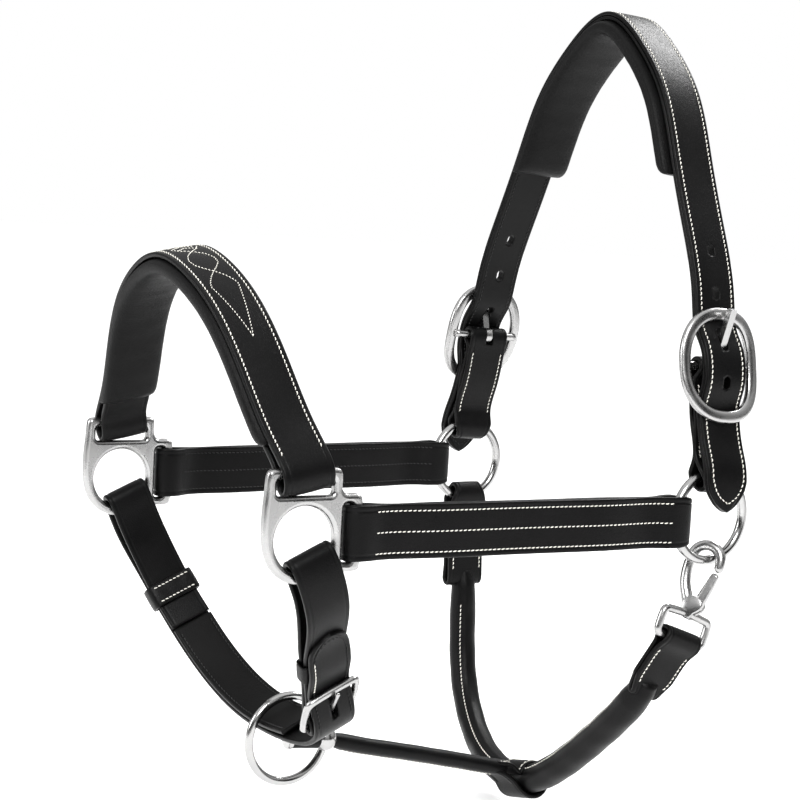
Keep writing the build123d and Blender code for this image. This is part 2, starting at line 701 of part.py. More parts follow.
# Snap: a hook over the near jaw ring, a strap eye below it and a sprung gate
snap_side = Vector(0.5, -0.866, 0)
snap_side = (snap_side - snap_down * snap_side.dot(snap_down)).normalized()
snap_plane = Plane(origin=snap_at, x_dir=snap_down, z_dir=snap_down.cross(snap_side))
eye_plane = Plane(origin=snap_at, x_dir=snap_down, z_dir=(0, 1, 0))
hook_r = 7.7
snap_wire = 5.4
gate_pivot = (23, 3.6)
with BuildPart() as snap_body:
    with BuildSketch(eye_plane):
        with Locations((eye_bar_t - 6.5, 0)):
            RectangleRounded(17, 35, 4)
            RectangleRounded(9, 27, 1.5, mode=Mode.SUBTRACT)
    extrude(amount=2, both=True)
    fillet(snap_body.edges(), 1.3)
    with BuildLine(snap_plane) as hook_line:
        FilletPolyline((28.5, 0), (14, -7.7), (0, -hook_r), radius=22)
        ThreePointArc((0, -hook_r), (-hook_r, 0), (0, hook_r))
        Line((0, hook_r), (4.6, hook_r))
    with BuildSketch(Plane(origin=hook_line.wires()[0] @ 0, z_dir=hook_line.wires()[0] % 0)):
        Circle(snap_wire / 2)
    sweep(path=hook_line.wires()[0])
    with BuildSketch(snap_plane):
        with BuildLine():
            Polyline((18.5, -3), (19.5, 4.5), (22, 6.4), (24.6, 6), (28, 2), (28, -2), close=True)
        make_face()
    extrude(amount=3.2, both=True)
    with BuildSketch(snap_plane):
        with Locations(gate_pivot):
            Rectangle(20, 5.6)
            Circle(3.2)
    extrude(amount=1.9, both=True, mode=Mode.SUBTRACT)
    with BuildSketch(snap_plane):
        with Locations(gate_pivot):
            Circle(1)
    extrude(amount=5, both=True, mode=Mode.SUBTRACT)
snap_body.part.label = "snap_body"
export_step(snap_body.part, "parts/snap_body.step")

with BuildPart() as snap_gate:
    with BuildSketch(snap_plane):
        with BuildLine():
            Line(gate_pivot, (7.2, 6.6))
        trace(line_width=2.6)
        with Locations(gate_pivot):
            Circle(2.5)
            Circle(1.3, mode=Mode.SUBTRACT)
    extrude(amount=1.6, both=True)
    with BuildSketch(snap_plane):
        with Locations(gate_pivot):
            Circle(2.1)
    extrude(amount=0.9, both=True, mode=Mode.SUBTRACT)
snap_gate.part.label = "snap_gate"
export_step(snap_gate.part, "parts/snap_gate.step")

with BuildPart() as gate_pin:
    with BuildSketch(snap_plane):
        with Locations(gate_pivot):
            Circle(1)
    extrude(amount=3.2, both=True)
gate_pin.part.label = "gate_pin"
export_step(gate_pin.part, "parts/gate_pin.step")

with BuildPart() as gate_spring:
    with BuildSketch(snap_plane):
        with Locations(gate_pivot):
            Circle(1.75)
            Circle(1, mode=Mode.SUBTRACT)
    extrude(amount=0.7, both=True)
gate_spring.part.label = "gate_spring"
export_step(gate_spring.part, "parts/gate_spring.step")
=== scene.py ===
import math

import bpy
import numpy as np
from mathutils import Matrix, Vector


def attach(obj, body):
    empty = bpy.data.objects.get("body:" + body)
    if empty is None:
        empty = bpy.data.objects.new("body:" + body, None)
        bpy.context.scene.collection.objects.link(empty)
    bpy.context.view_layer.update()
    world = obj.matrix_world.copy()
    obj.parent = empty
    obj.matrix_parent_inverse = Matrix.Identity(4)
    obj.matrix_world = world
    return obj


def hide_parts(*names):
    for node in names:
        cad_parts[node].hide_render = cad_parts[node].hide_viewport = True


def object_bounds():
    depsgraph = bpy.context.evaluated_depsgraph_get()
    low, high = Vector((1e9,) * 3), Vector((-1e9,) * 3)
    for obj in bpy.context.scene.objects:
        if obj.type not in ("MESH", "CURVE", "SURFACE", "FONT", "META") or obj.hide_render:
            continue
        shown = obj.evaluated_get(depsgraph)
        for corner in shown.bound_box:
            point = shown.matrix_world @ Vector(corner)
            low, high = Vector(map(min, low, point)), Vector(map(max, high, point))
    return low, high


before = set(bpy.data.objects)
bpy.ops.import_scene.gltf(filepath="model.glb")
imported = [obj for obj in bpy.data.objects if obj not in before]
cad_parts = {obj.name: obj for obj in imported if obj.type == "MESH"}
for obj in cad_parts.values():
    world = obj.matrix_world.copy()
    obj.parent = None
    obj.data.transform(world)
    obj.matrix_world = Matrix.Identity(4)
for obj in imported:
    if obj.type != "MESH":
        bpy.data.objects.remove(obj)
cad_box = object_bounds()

MM = 0.001


# ---------------------------------------------------------------- paths and planes (mm)
def unit(v):
    v = np.asarray(v, float)
    return v / np.linalg.norm(v)


class Flat:
    """A profile plane: (u, v) in it, and its normal."""

    def __init__(self, origin, x, y):
        self.o, self.x, self.y = np.array(origin, float), unit(x), unit(y)
        self.z = np.cross(self.x, self.y)

    def at(self, points):
        p = np.asarray(points, float)
        return self.o + p[..., :1] * self.x + p[..., 1:2] * self.y


def tilt(deg):
    return math.sin(math.radians(deg)), math.cos(math.radians(deg))


# Planes of the crown, noseband, chin straps and cheekpieces, each from its lean in degrees.
s_, c_ = tilt(2.62)
CROWN = Flat((-2.9, 0, 0), (0, 1, 0), (s_, 0, c_))
s_, c_ = tilt(10.8)
NOSE = Flat((-242.5, 0, -217.1), (0, 1, 0), (-s_, 0, c_))
s_, c_ = tilt(24)
CHIN = Flat((-242, 0, -246.5), (0, 1, 0), (s_, 0, -c_))
LEVEL = Flat((0, 0, -244.25), (1, 0, 0), (0, 1, 0))

# The crown buckle's bar, and the direction of the strap under it: s along it, n outwards.
BILLET_S = np.array([-tilt(12)[0], tilt(12)[1]])
BILLET_N = np.array([tilt(12)[1], tilt(12)[0]])
BAR = np.array([108, -221]) + 53 * BILLET_S + 3.4 * BILLET_N


def side(s, n):
    return tuple(BAR + s * BILLET_S + n * BILLET_N)


# The same for the chin buckle, in the chin plane.
CHIN_BAR = np.array([-57.0, 103.0])
CHIN_S = np.array([-0.4753, -0.8798])
CHIN_N = np.array([-0.8798, 0.4753])


def near(s, n):
    return tuple(CHIN_BAR + s * CHIN_S + n * CHIN_N)


def smooth(points, step=1.5, closed=False):
    """Points about step apart on a cubic through the given ones."""
    p = np.array(points, float)
    if closed:
        p = np.vstack([p, p[:1]])
    h = np.linalg.norm(np.diff(p, axis=0), axis=1)
    d = np.r_[0, np.cumsum(h)]
    n = len(p)
    a = np.zeros((n, n))
    b = np.zeros_like(p)
    for i in range(1, n - 1):
        a[i, i - 1], a[i, i], a[i, i + 1] = h[i], 2 * (h[i - 1] + h[i]), h[i - 1]
        b[i] = 3 * (h[i] * (p[i] - p[i - 1]) / h[i - 1] + h[i - 1] * (p[i + 1] - p[i]) / h[i])
    if closed:
        a[0, 0], a[0, 1], a[0, n - 2] = 2 * (h[-1] + h[0]), h[-1], h[0]
        b[0] = 3 * (h[0] * (p[0] - p[n - 2]) / h[-1] + h[-1] * (p[1] - p[0]) / h[0])
        a[n - 1, 0], a[n - 1, n - 1] = 1, -1
    else:
        a[0, 0], a[0, 1] = 2, 1
        b[0] = 3 * (p[1] - p[0]) / h[0]
        a[n - 1, n - 1], a[n - 1, n - 2] = 2, 1
        b[n - 1] = 3 * (p[-1] - p[-2]) / h[-1]
    m = np.linalg.solve(a, b)
    count = max(8, int(d[-1] / step))
    s = np.linspace(0, d[-1], count + 1)
    k = np.clip(np.searchsorted(d, s, "right") - 1, 0, n - 2)
    t = ((s - d[k]) / h[k])[:, None]
    hk = h[k][:, None]
    out = (2 * t**3 - 3 * t**2 + 1) * p[k] + (t**3 - 2 * t**2 + t) * hk * m[k]
    out += (-2 * t**3 + 3 * t**2) * p[k + 1] + (t**3 - t**2) * hk * m[k + 1]
    return out[:-1] if closed else out


class Path:
    """Centre line with frames: t along, w across the strap, n outwards."""

    def __init__(self, points, across, closed=False, turn=None):
        self.p = np.asarray(points, float)
        self.closed = closed
        if closed:
            t = np.roll(self.p, -1, 0) - np.roll(self.p, 1, 0)
            steps = np.linalg.norm(np.roll(self.p, -1, 0) - self.p, axis=1)
            self.s = np.r_[0, np.cumsum(steps)[:-1]]
            self.length = steps.sum()
        else:
            t = np.gradient(self.p, axis=0)
            steps = np.linalg.norm(np.diff(self.p, axis=0), axis=1)
            self.s = np.r_[0, np.cumsum(steps)]
            self.length = self.s[-1]
        self.t = t / np.linalg.norm(t, axis=1)[:, None]
        w = np.broadcast_to(np.asarray(across, float), self.p.shape)
        w = w - (w * self.t).sum(1)[:, None] * self.t
        self.w = w / np.linalg.norm(w, axis=1)[:, None]
        self.n = np.cross(self.w, self.t)
        if turn is not None:
            a = np.radians(turn(self.s))[:, None]
            self.w, self.n = (
                self.w * np.cos(a) + self.n * np.sin(a),
                self.n * np.cos(a) - self.w * np.sin(a),
            )

    def frame(self, s):
        s = np.asarray(s, float)
        if self.closed:
            s = s % self.length
            grid = np.r_[self.s, self.length]
            pick = [np.vstack([a, a[:1]]) for a in (self.p, self.t, self.w, self.n)]
        else:
            grid = self.s
            pick = [self.p, self.t, self.w, self.n]
        return [np.stack([np.interp(s, grid, a[:, i]) for i in range(3)], -1) for a in pick]

    def nearest(self, point):
        return float(self.s[np.linalg.norm(self.p - np.asarray(point), axis=1).argmin()])

    def span(self, start, end):
        """Lengths along the path at both points, the short way round a closed path."""
        a, b = sorted((self.nearest(start), self.nearest(end)))
        if self.closed and b - a > self.length / 2:
            return b, a + self.length
        return a, b


# ---------------------------------------------------------------- materials
def material(name):
    m = bpy.data.materials.new(name)
    m.use_nodes = True
    nodes = m.node_tree.nodes
    return m, nodes, m.node_tree.links, nodes["Principled BSDF"]


def put(nodes, kind, **values):
    """New node. Each value goes on the input socket of that name, else on the property."""
    n = nodes.new(kind)
    for k, v in values.items():
        socket = k.replace("_", " ")
        if socket in n.inputs:
            n.inputs[socket].default_value = v
        else:
            setattr(n, k, v)
    return n


def colours(nodes, links, source, dark, light, start=0.0, end=1.0):
    """Colour ramp from dark to light over a texture's value."""
    ramp = put(nodes, "ShaderNodeValToRGB")
    for stop, at, colour in zip(ramp.color_ramp.elements, (start, end), (dark, light)):
        stop.position = at
        stop.color = (*colour, 1)
    links.new(source.outputs["Fac"], ramp.inputs["Fac"])
    return ramp.outputs["Color"]


def bump(nodes, links, height, strength, distance, under=None):
    """Bump of a height output, over an earlier bump's normal if there is one."""
    node = put(nodes, "ShaderNodeBump", Strength=strength, Distance=distance)
    links.new(height, node.inputs["Height"])
    if under is not None:
        links.new(under, node.inputs["Normal"])
    return node.outputs["Normal"]


def leather(name, dark, light, rough=0.46, grain=900, depth=0.35, crease=0.25):
    m, nodes, links, bsdf = material(name)
    place = put(nodes, "ShaderNodeTexCoord").outputs["Object"]
    cells = put(nodes, "ShaderNodeTexVoronoi", feature="DISTANCE_TO_EDGE", Scale=grain)
    warp = put(nodes, "ShaderNodeTexNoise", Scale=grain * 0.6, Detail=3)
    mixv = put(nodes, "ShaderNodeMix", data_type="VECTOR", Factor=0.0012)
    links.new(place, warp.inputs["Vector"])
    links.new(place, mixv.inputs[4])
    links.new(warp.outputs["Color"], mixv.inputs[5])
    links.new(mixv.outputs[1], cells.inputs["Vector"])
    pebble = put(nodes, "ShaderNodeMapRange", From_Max=0.22)
    links.new(cells.outputs["Distance"], pebble.inputs["Value"])
    broad = put(nodes, "ShaderNodeTexNoise", Scale=38, Detail=5)
    links.new(place, broad.inputs["Vector"])
    fine = put(nodes, "ShaderNodeTexNoise", Scale=2600, Detail=2)
    links.new(place, fine.inputs["Vector"])
    links.new(colours(nodes, links, broad, dark, light, 0.32, 0.72), bsdf.inputs["Base Color"])
    rmap = put(nodes, "ShaderNodeMapRange", To_Min=rough - 0.07, To_Max=rough + 0.1)
    links.new(broad.outputs["Fac"], rmap.inputs["Value"])
    links.new(rmap.outputs["Result"], bsdf.inputs["Roughness"])
    normal = bump(nodes, links, pebble.outputs["Result"], depth, 0.00012)
    normal = bump(nodes, links, broad.outputs["Fac"], crease, 0.0008, normal)
    normal = bump(nodes, links, fine.outputs["Fac"], depth * 0.5, 0.00005, normal)
    links.new(normal, bsdf.inputs["Normal"])
    bsdf.inputs["Specular IOR Level"].default_value = 0.11
    return m


def steel(name, tone, rough):
    m, nodes, links, bsdf = material(name)
    place = put(nodes, "ShaderNodeTexCoord").outputs["Object"]
    bsdf.inputs["Metallic"].default_value = 1.0
    cloud = put(nodes, "ShaderNodeTexNoise", Scale=120, Detail=4)
    links.new(place, cloud.inputs["Vector"])
    stretch = put(nodes, "ShaderNodeMapping", Scale=(900, 900, 4200))
    links.new(place, stretch.inputs["Vector"])
    scratch = put(nodes, "ShaderNodeTexNoise", Scale=1, Detail=2)
    links.new(stretch.outputs["Vector"], scratch.inputs["Vector"])
    dark = (tone * 0.82, tone * 0.82, tone * 0.83)
    light = (tone * 1.08, tone * 1.07, tone * 1.05)
    links.new(colours(nodes, links, cloud, dark, light), bsdf.inputs["Base Color"])
    rmap = put(nodes, "ShaderNodeMapRange", To_Min=rough - 0.06, To_Max=rough + 0.1)
    links.new(cloud.outputs["Fac"], rmap.inputs["Value"])
    links.new(rmap.outputs["Result"], bsdf.inputs["Roughness"])
    links.new(bump(nodes, links, scratch.outputs["Fac"], 0.12, 0.00004), bsdf.inputs["Normal"])
    return m


def thread(name, dark, light):
    m, nodes, links, bsdf = material(name)
    fibre = put(nodes, "ShaderNodeTexNoise", Scale=2200)
    links.new(put(nodes, "ShaderNodeTexCoord").outputs["Object"], fibre.inputs["Vector"])
    links.new(colours(nodes, links, fibre, dark, light), bsdf.inputs["Base Color"])
    links.new(bump(nodes, links, fibre.outputs["Fac"], 0.5, 0.0001), bsdf.inputs["Normal"])
    bsdf.inputs["Roughness"].default_value = 0.75
    return m


FACE = leather("black_bridle_leather", (0.0012, 0.0012, 0.0013), (0.003, 0.0029, 0.003), 0.38)
LINING = leather(
    "black_lining_leather", (0.0016, 0.0016, 0.0016), (0.0036, 0.0035, 0.0035), 0.56, 700
)
PAD = leather(
    "soft_pad_leather", (0.0014, 0.0014, 0.0014), (0.0033, 0.0032, 0.0033), 0.5, 620, 0.5, 0.4
)
EDGE = leather(
    "waxed_leather_edge", (0.0012, 0.0012, 0.0012), (0.0026, 0.0025, 0.0025), 0.32, 1500, 0.2
)
STEEL = steel("satin_steel", 0.4, 0.25)
BRIGHT = steel("polished_steel", 0.42, 0.16)
THREAD = thread("cream_thread", (0.58, 0.56, 0.5), (0.92, 0.9, 0.83))
BLACK = thread("black_thread", (0.004, 0.004, 0.004), (0.012, 0.012, 0.012))

HALF = 12.7  # half the width of the crown, noseband and cheek straps
CHIN_HALF = 11.5
STITCH = 2.4  # stitch length of most rows


# ---------------------------------------------------------------- mesh makers
def add(name, data):
    """A new object in the scene."""
    obj = bpy.data.objects.new(name, data)
    bpy.context.scene.collection.objects.link(obj)
    return obj


def outward(v, faces):
    """The faces of a closed mesh, turned to face out."""
    fans = np.array([(f[0], f[i], f[i + 1]) for f in faces for i in range(1, len(f) - 1)])
    if np.einsum("ij,ij->i", v[fans[:, 0]], np.cross(v[fans[:, 1]], v[fans[:, 2]])).sum() < 0:
        return [tuple(reversed(f)) for f in faces]
    return faces


def merge(parts):
    """Several closed meshes as one."""
    verts, faces = np.zeros((0, 3)), []
    for v, f in parts:
        start = len(verts)
        faces += [tuple(i + start for i in face) for face in outward(v, f)]
        verts = np.vstack([verts, v])
    return verts, faces


def to_object(name, verts, faces, mats, body, index=None, mirror=False):
    """A smooth-shaded object riding on a body, from points in mm."""
    v = np.array(verts, float)
    if mirror:
        v = v * (1, -1, 1)
    faces = outward(v, faces)
    mesh = bpy.data.meshes.new(name)
    mesh.from_pydata((v * MM).tolist(), [], faces)
    for m in mats:
        mesh.materials.append(m)
    if index is not None:
        mesh.polygons.foreach_set("material_index", np.array(index, dtype=np.int32))
    mesh.polygons.foreach_set("use_smooth", np.ones(len(mesh.polygons), dtype=bool))
    mesh.update()
    obj = add(name, mesh)
    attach(obj, body)
    return obj


def sweep_faces(rows, cols, closed=False):
    """Quads between rows of a closed cross-section, and the two ends unless it is a ring."""
    out = []
    for i in range(rows if closed else rows - 1):
        a, b = i * cols, ((i + 1) % rows) * cols
        for j in range(cols):
            k = (j + 1) % cols
            out.append((a + j, a + k, b + k, b + j))
    if not closed:
        out += [tuple(range(cols - 1, -1, -1)), tuple(range((rows - 1) * cols, rows * cols))]
    return out


class Strap:
    """A flat strap along a path: half width hw, from n0 to n1, with rounded waxed edges."""

    def __init__(self, path, hw, n0, n1, grooves=(), dome=0.15, groove_d=0.3, both=False):
        self.path, self.n0, self.n1 = path, n0, n1
        self.hw = hw if callable(hw) else (lambda s: np.full(np.shape(s), float(hw)))
        self.grooves, self.dome, self.groove_d, self.both = grooves, dome, groove_d, both

    @staticmethod
    def corner(edge, r, middle, start, end):
        """Points of a rounded edge, from one angle to another."""
        angles = np.linspace(start, end, 3)
        return [(edge, edge * r * math.sin(a), middle + r * math.cos(a), 0) for a in angles]

    def profile(self):
        """Cross-section points as (fraction of width, offset, height, outer side)."""
        r = min((self.n1 - self.n0) * 0.42, 0.85)
        top = [(f, 0.0, 0.0) for f in np.linspace(-0.8, 0.8, 7)]
        for g in self.grooves:
            for k, dep in ((-0.75, 0), (0, -self.groove_d), (0.75, 0)):
                top.append((1.0, -(g - r) + k, dep))
                top.append((-1.0, (g - r) + k, dep))
        top += [(-1.0, 0, 0), (1.0, 0, 0)]
        top.sort(key=lambda q: q[0] * (12.0 - r) + q[1])
        pts = [(f, o, self.n1 + d, 1) for f, o, d in top]
        upper, lower = (0.35, math.pi / 2), (math.pi / 2, math.pi - 0.35)
        pts += self.corner(1.0, r, self.n1 - r, *upper)
        pts += self.corner(1.0, r, self.n0 + r, *lower)
        low = top if self.both else [(f, 0.0, 0.0) for f in (-1, -0.5, 0, 0.5, 1)]
        pts += [(f, o, self.n0 - d, 2) for f, o, d in reversed(low)]
        pts += self.corner(-1.0, r, self.n0 + r, *reversed(lower))
        pts += self.corner(-1.0, r, self.n1 - r, *reversed(upper))
        return pts, r

    def mesh(self, name, body, mats=(FACE, FACE, EDGE), mirror=False):
        pts, r = self.profile()
        f, o, h, kind = (np.array(c, float) for c in zip(*pts))
        s = self.path.s
        hw = self.hw(s)
        room = np.maximum(hw - r, 0.05)[:, None]
        shrink = np.minimum(room / 6.0, 1.0)
        v = f[None] * room + o[None] * shrink
        rise = self.dome * (1 - np.minimum(np.abs(v) / room, 1) ** 2)
        mid = (self.n0 + self.n1) / 2
        n = h[None] + rise * np.sign(h[None] - mid) * (kind[None] > 0)
        p = self.path
        verts = p.p[:, None] + p.w[:, None] * v[..., None] + p.n[:, None] * n[..., None]
        rows, cols = v.shape
        faces = sweep_faces(rows, cols, p.closed)
        per = [
            0 if kind[j] == 1 and kind[(j + 1) % cols] == 1
            else 1 if kind[j] == 2 and kind[(j + 1) % cols] == 2
            else 2
            for j in range(cols)
        ]
        index = per * (rows if p.closed else rows - 1)
        if not p.closed:
            index += [2, 2]
        return to_object(name, verts.reshape(-1, 3), faces, mats, body, index, mirror)

    def surf(self, s, v, outer=True):
        """Points and normals on the face, at s along and v across."""
        p, t, w, n = self.path.frame(s)
        hw = self.hw(np.asarray(s))
        rise = self.dome * (1 - np.minimum(np.abs(v) / hw, 1) ** 2)
        height = self.n1 + rise if outer else self.n0 - rise
        sign = 1 if outer else -1
        return p + w * np.asarray(v)[..., None] + n * np.asarray(height)[..., None], n * sign


def stitch_line(points, pitch):
    """Ends of each stitch along a polyline of (s, v)."""
    q = np.array(points, float)
    d = np.r_[0, np.cumsum(np.linalg.norm(np.diff(q, axis=0), axis=1))]
    count = max(1, int(round(d[-1] / pitch)))
    edges = np.linspace(0, d[-1], count + 1)
    a, b = edges[:-1] + pitch * 0.11, edges[1:] - pitch * 0.11
    return [np.stack([np.interp(x, d, q[:, k]) for k in (0, 1)], -1) for x in (a, b)]


def stitches(
    name, body, strap, lines, pitch=STITCH, r=0.27, outer=True, mirror=False, yarn=THREAD
):
    """Threads lying in their line of stitch holes, all in one mesh."""
    ends = [stitch_line(line, pitch) for line in lines]
    a = np.vstack([e[0] for e in ends])
    b = np.vstack([e[1] for e in ends])
    pa, na = strap.surf(a[:, 0], a[:, 1], outer)
    pb, nb = strap.surf(b[:, 0], b[:, 1], outer)
    along = pb - pa
    along /= np.linalg.norm(along, axis=1)[:, None]
    nn = na + nb
    nn /= np.linalg.norm(nn, axis=1)[:, None]
    cross = np.cross(along, nn)
    slant = 0.16
    # each ring's place along the stitch, its lift and its share of the thread's radius
    rings = [(0.0, -0.3, 0.55), (0.1, 0.0, 0.85), (0.3, 0.22, 1), (0.5, 0.28, 1.02)]
    rings += [(0.7, 0.22, 1), (0.9, 0.0, 0.85), (1.0, -0.3, 0.55)]
    sides = 6
    verts = []
    for f, lift, size in rings:
        c = pa + (pb - pa) * f + nn * (lift - 0.1) + cross * (slant * (2 * f - 1))
        for k in range(sides):
            ang = 2 * math.pi * k / sides
            verts.append(c + (cross * math.cos(ang) + nn * math.sin(ang)) * r * size)
    verts = np.stack(verts, 1)
    per = len(rings) * sides
    faces = []
    for i in range(len(a)):
        base = i * per
        for j in range(len(rings) - 1):
            for k in range(sides):
                m = (k + 1) % sides
                p = base + j * sides
                faces.append((p + k, p + sides + k, p + sides + m, p + m))
        faces.append(tuple(base + k for k in range(sides)))
        faces.append(tuple(base + per - 1 - k for k in range(sides)))
    return to_object(name, verts.reshape(-1, 3), faces, [yarn], body, mirror=mirror)


def cutter(points, frames, length, width, depth, box=False):
    """Objects that punch holes or boxes, each at a point with (along, across, through)."""
    out = []
    for p, (t, w, n) in zip(points, frames):
        if box:
            ring = [(-1, -1), (1, -1), (1, 1), (-1, 1)]
            ring = [(length / 2 * x, width / 2 * y) for x, y in ring]
        else:
            ring = []
            for k in range(24):
                a = 2 * math.pi * k / 24
                shift = (length - width) / 2 * (1 if math.cos(a) > 0 else -1)
                ring.append((width / 2 * math.cos(a) + shift, width / 2 * math.sin(a)))
        m = len(ring)
        verts = [p + t * x + w * y + n * z for z in (-depth, depth) for x, y in ring]
        faces = [(i, (i + 1) % m, m + (i + 1) % m, m + i) for i in range(m)]
        faces += [tuple(range(m - 1, -1, -1)), tuple(range(m, 2 * m))]
        mesh = bpy.data.meshes.new("cut")
        if np.dot(np.cross(t, w), n) < 0:
            faces = [tuple(reversed(f)) for f in faces]
        mesh.from_pydata((np.array(verts) * MM).tolist(), [], faces)
        mesh.materials.append(EDGE)
        out.append(add("cut", mesh))
    return out


def punch(obj, cutters):
    """Cuts the cutters out of obj for good, and deletes them."""
    for c in cutters:
        mod = obj.modifiers.new("hole", "BOOLEAN")
        mod.operation, mod.object, mod.solver = "DIFFERENCE", c, "EXACT"
        mod.material_mode = "TRANSFER"
    bpy.context.view_layer.update()
    graph = bpy.context.evaluated_depsgraph_get()
    mesh = bpy.data.meshes.new_from_object(obj.evaluated_get(graph))
    obj.modifiers.clear()
    obj.data = mesh
    for c in cutters:
        bpy.data.objects.remove(c)
    return obj


def tube(path, radius, sides=24, shape=None):
    """Closed tube round a path. shape(angle, s) multiplies the radius."""
    p = path
    ang = np.linspace(0, 2 * math.pi, sides, endpoint=False)
    rad = radius(p.s) if callable(radius) else np.full(len(p.s), float(radius))
    mult = np.ones((len(p.s), sides)) if shape is None else shape(ang[None], p.s[:, None])
    ring = np.cos(ang)[None, :, None] * p.w[:, None] + np.sin(ang)[None, :, None] * p.n[:, None]
    verts = p.p[:, None] + ring * (rad[:, None] * mult)[..., None]
    return verts.reshape(-1, 3), sweep_faces(len(p.s), sides, p.closed)


def pad_body(path, s0, s1, half, top, thick, puff, shrink=8.0):
    """A stuffed pad under a strap: verts and faces of a pillow-edged sweep from s0 to s1."""
    s = np.concatenate([
        s0 + np.array([0, 0.35, 1.1, 2.4, 4.4, 7]),
        np.arange(s0 + 9, s1 - 9, 2.0),
        s1 - np.array([7, 4.4, 2.4, 1.1, 0.35, 0]),
    ])
    p, t, w, n = path.frame(s)
    end = np.minimum(s - s0, s1 - s)
    k = np.sqrt(np.clip(1 - (1 - np.clip(end / shrink, 0, 1)) ** 2, 0.02, 1))
    m = 40
    ang = np.linspace(0, 2 * math.pi, m, endpoint=False)
    x, y = (np.sign(c) * np.abs(c) ** 0.55 for c in (np.cos(ang), np.sin(ang)))
    bulge = 1 + puff * np.clip(-y, 0, 1) * (1 - x**2)
    across = half * x[None] * (0.93 + 0.07 * k[:, None])
    height = top - thick / 2 * k[:, None] + thick / 2 * (y * bulge)[None] * k[:, None]
    # soft unevenness of the stuffing, on the side away from the strap
    wave = 0.07 * np.sin(s[:, None] * 0.42 + x[None] * 1.6)
    wave += 0.05 * np.sin(s[:, None] * 0.93 - x[None] * 2.3)
    height = height + wave * np.clip(-y, 0, 1)[None] * k[:, None]
    verts = p[:, None] + w[:, None] * across[..., None] + n[:, None] * height[..., None]
    return verts.reshape(-1, 3), sweep_faces(len(s), m)


# ---------------------------------------------------------------- crown
# (across, up) in the crown plane from beside the poll, then down the buckled part to the tail
crown_half = [(29.5, -5.2), (52.1, -31.6), (66.9, -65.1), (80.9, -98.1), (93.4, -131)]
crown_half += [side(25.5, 1.1), side(20, 1.6), side(9, 6), side(-1, 7.4), side(-10.5, 5.9)]
crown_half += [side(-20, 1.7), side(-25.5, 1.4), side(-40, 2.8), side(-51, 5.0)]
crown_half += [side(-62, 4.6), side(-73, 3.0)]
crown_pts = [(-y, h) for y, h in reversed(crown_half)] + [(0, 10.9)] + crown_half
crown_path = Path(CROWN.at(smooth(crown_pts, 1.4)), CROWN.z)
CL = crown_path.length


def tail_width(s):
    d = np.minimum(s, CL - s)
    return np.interp(d, [0, 0.5, 1.5, 3, 5, 8, 11, 15], [0.6, 1.9, 3.7, 5.6, 7.5, 9.9, 11.6, HALF])


crown_outer = Strap(crown_path, tail_width, 0.03, 2.3, grooves=(2.7,), dome=0.2)
crown_inner = Strap(crown_path, tail_width, -2.3, -0.03, grooves=(2.7,), dome=0.0, both=True)


def crown_holes(places, length, width):
    """Cutters for slots at the same places of both crown tails."""
    spots, frames = [], []
    for sign in (1, -1):
        for y, h in places:
            p, t, w, n = crown_path.frame(crown_path.nearest(CROWN.at((sign * y, h))))
            spots.append(p)
            frames.append((unit(t), unit(w), unit(n)))
    return cutter(spots, frames, length, width, 6)


def crown_cuts():
    """The buckle holes and the tongue slot of both tails."""
    holes = crown_holes([side(-8.5, 5), side(36.5, 0), side(59, -1)], 6.6, 4.4)
    return holes + crown_holes([side(12.0, 5)], 13, 5.0)


o = punch(crown_outer.mesh("crown_leather", "crown", (FACE, LINING, EDGE)), crown_cuts())
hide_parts("crown_strap")
o = punch(crown_inner.mesh("crown_lining_leather", "crown", (LINING, LINING, EDGE)), crown_cuts())
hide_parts("crown_lining")

row = 10.0  # from the strap's middle to a stitch row
tip = [(4.2, 0), (7.2, 5.2), (11, 8.2), (16, row)]
line = tip + [(CL - s, v) for s, v in reversed(tip)]
rows = [line, [(s, -v) for s, v in line]]
stitches("crown_stitching", "crown", crown_outer, rows)
stitches("crown_lining_stitching", "crown", crown_inner, rows, outer=False, yarn=BLACK)

pad_s = crown_path.nearest(CROWN.at((-70, -72)))
v, f = pad_body(crown_path, pad_s, CL - pad_s, 17, -2.3, 8.6, 0.12)
o = to_object("poll_padding", v, f, [PAD], "crown")
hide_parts("poll_pad")


# ---------------------------------------------------------------- chapes
chape = [(-47, -2.3), (-30, -2.25), (-12, -2.2), (-5.5, -1.0), (-2.4, 2.8), (0.6, 3.75)]
chape += [(3.3, 1.9), (3.4, -1.6), (0.6, -3.8), (-6, -4.45), (-12, -4.6), (-30, -4.55)]
chape += [(-47, -4.5), (-50.5, -6.4), (-54, -7.95), (-59, -7.6), (-61.6, -3.4)]
chape += [(-59, 0.8), (-54, 1.15), (-50.5, -0.4)]
chape_ring = smooth([side(s, n) for s, n in chape], 0.8, closed=True)
chape_path = Path(CROWN.at(chape_ring), -CROWN.z, closed=True)


def fold_width(path, centre, full, waist, reach):
    """Half width that narrows near a point of the path, where the strap goes round a ring."""
    d = np.linalg.norm(path.p - np.asarray(centre), axis=1)
    w = np.interp(d, [reach * 0.35, reach], [waist, full])
    grid = np.r_[path.s, path.length]
    vals = np.r_[w, w[:1]]
    return lambda s: np.interp(np.asarray(s) % path.length, grid, vals)


chape_half = fold_width(chape_path, CROWN.at(side(-61.6, -3.4)), HALF, 9.6, 10)
chape_strap = Strap(chape_path, chape_half, -1.1, 1.1, grooves=(2.7,), dome=0.1)


